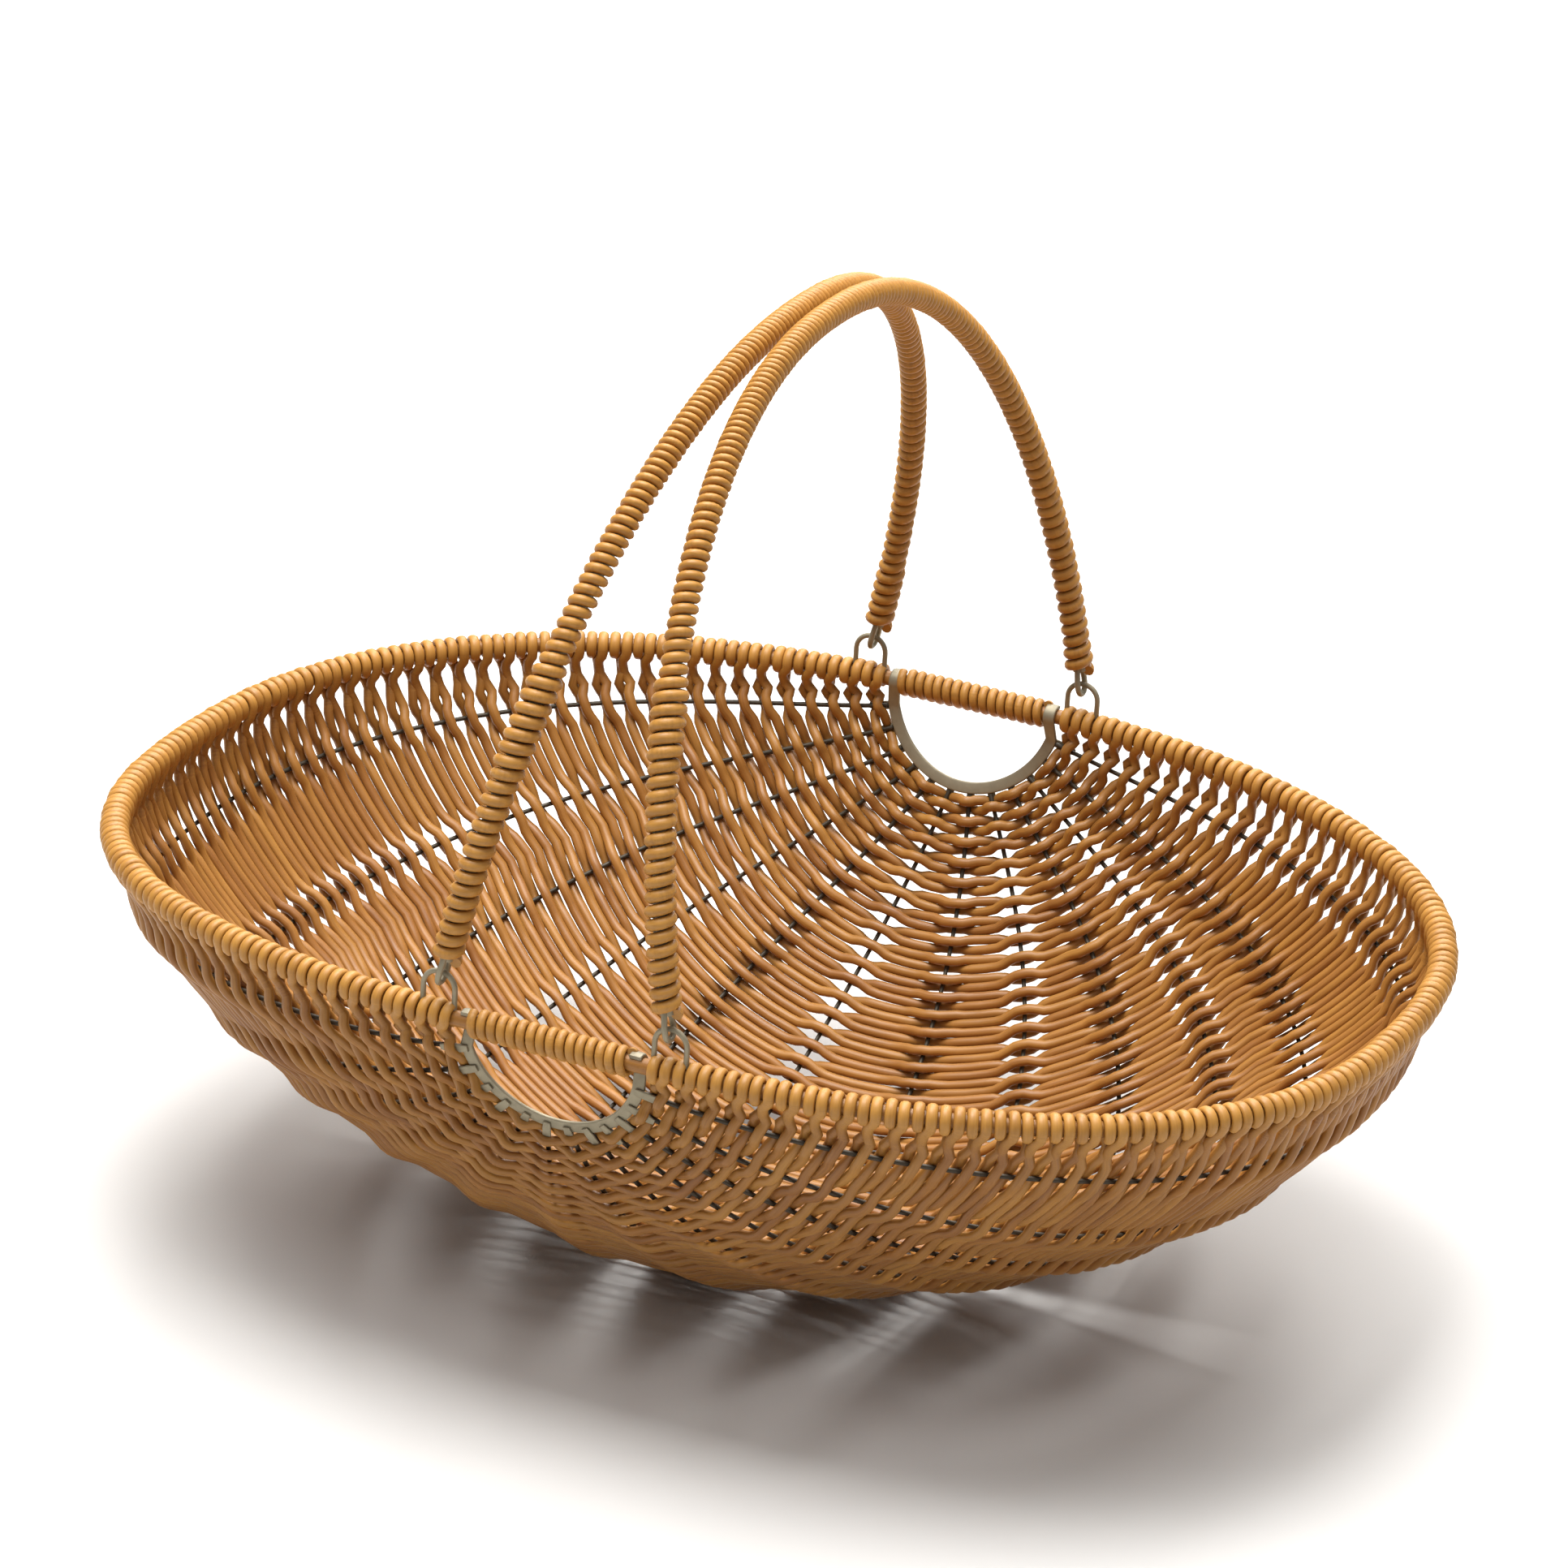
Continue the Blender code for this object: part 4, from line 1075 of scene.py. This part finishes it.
class BASKET_OT_rim(bpy.types.Operator):
    """Draw the rim hoop, and wind cane round it over the hand holes"""

    bl_idname = "basket.rim"
    bl_label = "Build Rim"

    def execute(self, context):
        settings = context.scene.basket_cane
        corner = rim_point(STRIP_MIDDLE_RADIUS)
        right, left = (rim_frame(side, np.linspace(0, 1, RIM_STEPS))[0] for side in (1, -1))
        points = np.concatenate([
            right, [corner * (1, -1, 1), corner * (-1, -1, 1)], left[::-1],
            [corner * (-1, 1, 1), corner]])
        size = 2 * settings.hoop_radius
        hoop = draw_wires(
            "rim_hoop_rod", [guide_line(points, (0, 0, 1))], size, size, cane_material(), closed=True)
        settle(hoop, "basket", "cane_gold", "rim_hoop")

        half_length = HOLE_RADIUS - settings.grip_pitch / 2
        for depth_name, depth_sign in (("front", 1), ("back", -1)):
            points = np.linspace((-half_length, 0, 0), (half_length, 0, 0), GRIP_STEPS)
            points += corner * (0, depth_sign, 1)
            upward = np.broadcast_to((0, 0, 1), points.shape)
            grip = wind(
                f"{depth_name}_grip_cane", points, upward, np.full(GRIP_STEPS, settings.hoop_radius),
                np.full(GRIP_STEPS, settings.grip_pitch), settings.wrap_thickness, GRIP_SEED)
            settle(grip, "basket", "cane_gold", f"{depth_name}_grip_winding")
        return {"FINISHED"}


class BASKET_OT_hole_strips(bpy.types.Operator):
    """Draw the strips round the hand holes, hooked over the hoop, and the ribs' folded ends"""

    bl_idname = "basket.hole_strips"
    bl_label = "Draw Strips"

    def execute(self, context):
        settings = context.scene.basket_steel
        hoop_reach = context.scene.basket_cane.hoop_radius + settings.strip_thickness / 2
        corner = rim_point(STRIP_MIDDLE_RADIUS) * (HOOK_SPREAD_SHARE, 1, 1)
        hook_directions = [np.array((0, math.cos(angle), -math.sin(angle))) for angle in HOOK_ANGLES]
        hook_points = [corner - direction * hoop_reach for direction in hook_directions]
        strip_points = []
        strip_directions = []
        for turn in np.linspace(STRIP_LOW_ANGLE, math.pi - STRIP_LOW_ANGLE, STRIP_STEPS):
            angles = hole_angles(STRIP_MIDDLE_RADIUS * math.cos(turn), STRIP_MIDDLE_RADIUS * math.sin(turn))
            strip_points.append(wall_points(*angles))
            strip_directions.append(wall_normals(*angles))
        mirrored = [point * (-1, 1, 1) for point in hook_points]
        points = np.array(hook_points[::-1] + strip_points + mirrored)
        directions = np.array(hook_directions[::-1] + strip_directions + hook_directions)

        tabs = []
        lift = settings.strip_thickness / 2 + settings.rib_radius / 2
        for number in range(1, RIB_COUNT + 1):
            angles = wall_line(number, np.linspace(0, settings.tab_length / MEAN_RIB_LENGTH, TAB_STEPS))
            normals = wall_normals(*angles)
            tab_points = wall_points(*angles)
            overlap = tab_points[0] + unit(tab_points[0] - tab_points[1]) * TAB_OVERLAP
            normals = np.concatenate([normals[:1], normals])
            tabs.append((np.concatenate([[overlap], tab_points]) + normals * lift, normals))

        for depth_name, depth_sign in (("front", 1), ("back", -1)):
            turned = np.array((1, depth_sign, 1))
            strip = draw_wires(
                f"{depth_name}_strip", [guide_line(points * turned, directions * turned)],
                settings.strip_width, settings.strip_thickness, steel_material(), sides=STRIP_SIDES,
                squareness=STRIP_SQUARENESS)
            settle(strip, "basket", "dull_steel", f"{depth_name}_hole_strip")
            lines = [
                guide_line(tab_points * turned, normals * turned, TAB_GIRTH_SHARES)
                for tab_points, normals in tabs]
            ends = draw_wires(
                f"{depth_name}_rib_ends", lines, TAB_WIDTH, settings.rib_radius, steel_material(),
                squareness=TAB_SQUARENESS)
            settle(ends, "basket", "dull_steel")
        return {"FINISHED"}


class BASKET_OT_staples(bpy.types.Operator):
    """Bend the four wire staples that carry the handles"""

    bl_idname = "basket.staples"
    bl_label = "Bend Staples"

    def execute(self, context):
        size = 2 * context.scene.basket_steel.staple_radius
        foot = rim_point(STAPLE_X)
        leg_length = HINGE_HEIGHT - context.scene.basket_cane.hoop_radius
        legs = np.linspace(leg_length, 0, STAPLE_LEG_STEPS)[:-1]
        arch = [
            (STAPLE_HALF_WIDTH * math.cos(angle), 0, STAPLE_HALF_WIDTH * math.sin(angle))
            for angle in np.linspace(math.pi, 0, STAPLE_ARC_STEPS)]
        shape = np.array(
            [(-STAPLE_HALF_WIDTH, 0, -depth) for depth in legs] + arch
            + [(STAPLE_HALF_WIDTH, 0, -depth) for depth in legs[::-1]])
        for depth_name, depth_sign in (("front", 1), ("back", -1)):
            for side_name, side in (("left", -1), ("right", 1)):
                centre = foot * (side, depth_sign, 1) + (0, 0, HINGE_HEIGHT)
                staple = draw_wires(
                    f"{depth_name}_{side_name}_staple_wire", [guide_line(shape + centre, (0, 1, 0))],
                    size, size, steel_material())
                settle(staple, "basket", "dull_steel", f"{depth_name}_{side_name}_staple")
        return {"FINISHED"}


def arch_line(foot_y):
    """Evenly spaced points of a handle's centreline in its own plane, with their lengths."""
    angles = np.linspace(0, math.pi, ARCH_STEPS)
    side = np.sign(np.cos(angles)) * np.abs(np.cos(angles)) ** (2 / HANDLE_FOOT_SIDE_EXPONENT)
    rise = np.abs(np.sin(angles)) ** (2 / HANDLE_RISE_EXPONENT)
    rod_start = EYE_CENTRE_REACH + EYE_RADIUS
    height = rod_start + (HANDLE_REACH - rod_start) * rise
    line = np.stack([np.zeros(ARCH_STEPS), -foot_y * side, height], axis=1)
    lengths = lengths_along(line)
    places = np.linspace(0, lengths[-1], LINE_STEPS)
    points = np.stack([np.interp(places, lengths, line[:, axis]) for axis in range(3)], axis=1)
    return points, places


def handle_leans():
    """How far each handle leans in from upright at rest."""
    right_top = STAPLE_X - HANDLE_REACH * math.sin(RIGHT_HANDLE_LEAN)
    left_top = right_top - HANDLE_CREST_SPACING
    return {"right": RIGHT_HANDLE_LEAN, "left": math.asin((STAPLE_X + left_top) / HANDLE_REACH)}


def handle_shape(side_name, settings, places):
    """Outer radius of a handle's winding and the spacing of its turns, from the front foot on."""
    length = places[-1]
    radii = {
        "leg": settings.leg_radius, "double": settings.double_radius, "arch": settings.arch_radius,
        "between": (settings.arch_radius + settings.leg_radius) / 2}
    knots = WINDING_KNOTS[side_name]
    radius = np.interp(
        places, [share * length + further for share, further, _ in knots],
        [radii[part] for _, _, part in knots])
    to_foot = np.minimum(places, length - places)
    pitch = np.interp(to_foot, PITCH_PLACES, (settings.leg_pitch, settings.arch_pitch))
    return radius, pitch


def eye_loop(settings):
    """Points of a long loop: round under the staple's wire, with its legs rising into the cane."""
    top = EYE_RADIUS + settings.start + EYE_LEG_DEPTH
    left_leg = [(0, -EYE_RADIUS * reach, top * rise) for reach, rise in EYE_LEG_SHARES]
    right_leg = [(x, -y, z) for x, y, z in left_leg[::-1]]
    bow = [
        (0, EYE_RADIUS * math.cos(turn), EYE_RADIUS * math.sin(turn))
        for turn in np.linspace(math.pi, 2 * math.pi, EYE_STEPS)]
    return np.array(left_leg + bow + right_leg)


class BASKET_OT_handles(bpy.types.Operator):
    """Build both handles: rods with wire eyes, and the cane wound round them"""

    bl_idname = "basket.handles"
    bl_label = "Build Handles"

    def execute(self, context):
        settings = context.scene.basket_handles
        eye_size = 2 * context.scene.basket_steel.eye_radius
        rod_size = 2 * HANDLE_ROD_RADIUS
        foot = rim_point(STAPLE_X)
        foot_y = abs(foot[1])
        leans = handle_leans()
        line, places = arch_line(foot_y)
        covered = (places >= settings.start) & (places <= places[-1] - settings.start)
        for side_name, side in (("left", -1), ("right", 1)):
            body = f"{side_name}_handle"
            hinge = np.array((side * foot[0], 0, foot[2] + HINGE_HEIGHT))
            lean = -side * leans[side_name]
            turned = np.array((
                (math.cos(lean), 0, math.sin(lean)), (0, 1, 0), (-math.sin(lean), 0, math.cos(lean))))
            across = turned @ (1, 0, 0)
            points = (line @ turned.T + hinge)[covered]
            rod = draw_wires(
                f"{body}_core", [guide_line(points, across)], rod_size, rod_size, steel_material())
            settle(rod, body, "dull_steel", f"{body}_rod")

            eyes = []
            for end in (-1, 1):
                loop = eye_loop(settings) + (0, end * foot_y, EYE_CENTRE_REACH)
                eyes.append(guide_line(loop @ turned.T + hinge, across))
            eye = draw_wires(
                f"{body}_eyes", eyes, eye_size, eye_size, steel_material(), sides=EYE_SIDES)
            settle(eye, body, "dull_steel")

            radius, pitch = handle_shape(side_name, settings, places)
            core = radius - np.minimum(settings.turn_thickness, pitch)
            wound = wind(
                f"{body}_cane", points, np.broadcast_to(across, points.shape), core[covered],
                pitch[covered], settings.turn_thickness, HANDLE_SEED + side)
            settle(wound, body, "cane_gold", f"{body}_winding")
        return {"FINISHED"}


def lay_floor(context, settings):
    """Lay a wide floor of matt paper."""
    material, _, shader = new_material("matt_paper_floor")
    feed(shader, {"Base Color": tuple(settings.floor_colour), "Roughness": 0.9})
    mesh = bmesh.new()
    bmesh.ops.create_grid(mesh, x_segments=1, y_segments=1, size=FLOOR_HALF_SIZE)
    data = bpy.data.meshes.new("floor")
    mesh.to_mesh(data)
    mesh.free()
    floor = bpy.data.objects.new("floor", data)
    data.materials.append(material)
    context.scene.collection.objects.link(floor)


def set_lights(context, settings):
    """Set a white world that is brightest straight above, and hang the softboxes."""
    world = bpy.data.worlds.new("studio")
    world.use_nodes = True
    tree = world.node_tree
    direction = node(tree, "ShaderNodeTexCoord").outputs["Generated"]
    height = node(tree, "ShaderNodeSeparateXYZ", (direction,)).outputs["Z"]
    strength = node(tree, "ShaderNodeMapRange", {
        "Value": height, "From Min": 0.45, "To Min": settings.side_fill_strength,
        "To Max": settings.fill_strength})
    feed(tree.nodes["Background"], {"Color": (1, 1, 1, 1), "Strength": strength})
    context.scene.world = world
    context.scene.view_settings.view_transform = "Standard"
    powers = {"key": settings.key_power, "back": settings.back_power}
    for name, place, size in SOFTBOXES:
        light = bpy.data.lights.new(f"{name}_softbox", "AREA")
        light.size = size
        light.energy = powers[name]
        softbox = bpy.data.objects.new(f"{name}_softbox", light)
        softbox.location = place
        softbox.rotation_euler = (-softbox.location).to_track_quat("-Z", "Y").to_euler()
        context.scene.collection.objects.link(softbox)


def place_camera(context):
    """Place the camera where the photograph was taken from, a little rolled."""
    lens = bpy.data.cameras.new("camera")
    lens.lens = CAMERA_LENS
    lens.shift_x = CAMERA_SHIFT_X
    lens.shift_y = CAMERA_SHIFT_Y
    camera = bpy.data.objects.new("camera", lens)
    back = Vector((
        math.sin(CAMERA_AZIMUTH) * math.cos(CAMERA_ELEVATION),
        -math.cos(CAMERA_AZIMUTH) * math.cos(CAMERA_ELEVATION), math.sin(CAMERA_ELEVATION)))
    right = Vector((math.cos(CAMERA_AZIMUTH), math.sin(CAMERA_AZIMUTH), 0))
    up = back.cross(right)
    rolled_right = right * math.cos(CAMERA_ROLL) + up * math.sin(CAMERA_ROLL)
    rolled_up = up * math.cos(CAMERA_ROLL) - right * math.sin(CAMERA_ROLL)
    turned = Matrix((rolled_right, rolled_up, back)).transposed().to_4x4()
    place = Vector((0, 0, RIM_HEIGHT)) + back * CAMERA_DISTANCE
    camera.matrix_world = Matrix.Translation(place) @ turned
    context.scene.collection.objects.link(camera)
    context.scene.camera = camera


class BASKET_OT_studio(bpy.types.Operator):
    """Lay the floor, hang the lights and set up the camera"""

    bl_idname = "basket.studio"
    bl_label = "Set Up Studio"

    def execute(self, context):
        settings = context.scene.basket_studio
        lay_floor(context, settings)
        set_lights(context, settings)
        place_camera(context)
        return {"FINISHED"}


SETTINGS = {
    "basket_cane": CaneSettings,
    "basket_steel": SteelSettings,
    "basket_handles": HandleSettings,
    "basket_studio": StudioSettings,
}
OPERATORS = (
    BASKET_OT_studio, BASKET_OT_rows, BASKET_OT_ribs, BASKET_OT_rim, BASKET_OT_hole_strips,
    BASKET_OT_staples, BASKET_OT_handles)


class BASKET_PT_panel(bpy.types.Panel):
    """Sizes, colours and building steps of the basket"""

    bl_idname = "BASKET_PT_panel"
    bl_label = "Woven Cane Basket"
    bl_space_type = "VIEW_3D"
    bl_region_type = "UI"
    bl_category = "Basket"

    def draw(self, context):
        for name, group in SETTINGS.items():
            box = self.layout.box()
            for setting in group.__annotations__:
                box.prop(getattr(context.scene, name), setting)
        for operator in OPERATORS:
            self.layout.operator(operator.bl_idname)


def register():
    """Register the settings, the operators and the panel."""
    for name, group in SETTINGS.items():
        bpy.utils.register_class(group)
        setattr(bpy.types.Scene, name, bpy.props.PointerProperty(type=group))
    for operator in OPERATORS:
        bpy.utils.register_class(operator)
    bpy.utils.register_class(BASKET_PT_panel)


def unregister():
    """Take the panel, the operators and the settings away again."""
    bpy.utils.unregister_class(BASKET_PT_panel)
    for operator in reversed(OPERATORS):
        bpy.utils.unregister_class(operator)
    for name, group in reversed(SETTINGS.items()):
        delattr(bpy.types.Scene, name)
        bpy.utils.unregister_class(group)


def main():
    """Build every piece."""
    register()
    bpy.ops.basket.studio()
    bpy.ops.basket.rows()
    bpy.ops.basket.ribs()
    bpy.ops.basket.rim()
    bpy.ops.basket.hole_strips()
    bpy.ops.basket.staples()
    bpy.ops.basket.handles()


if __name__ == "__main__":
    main()
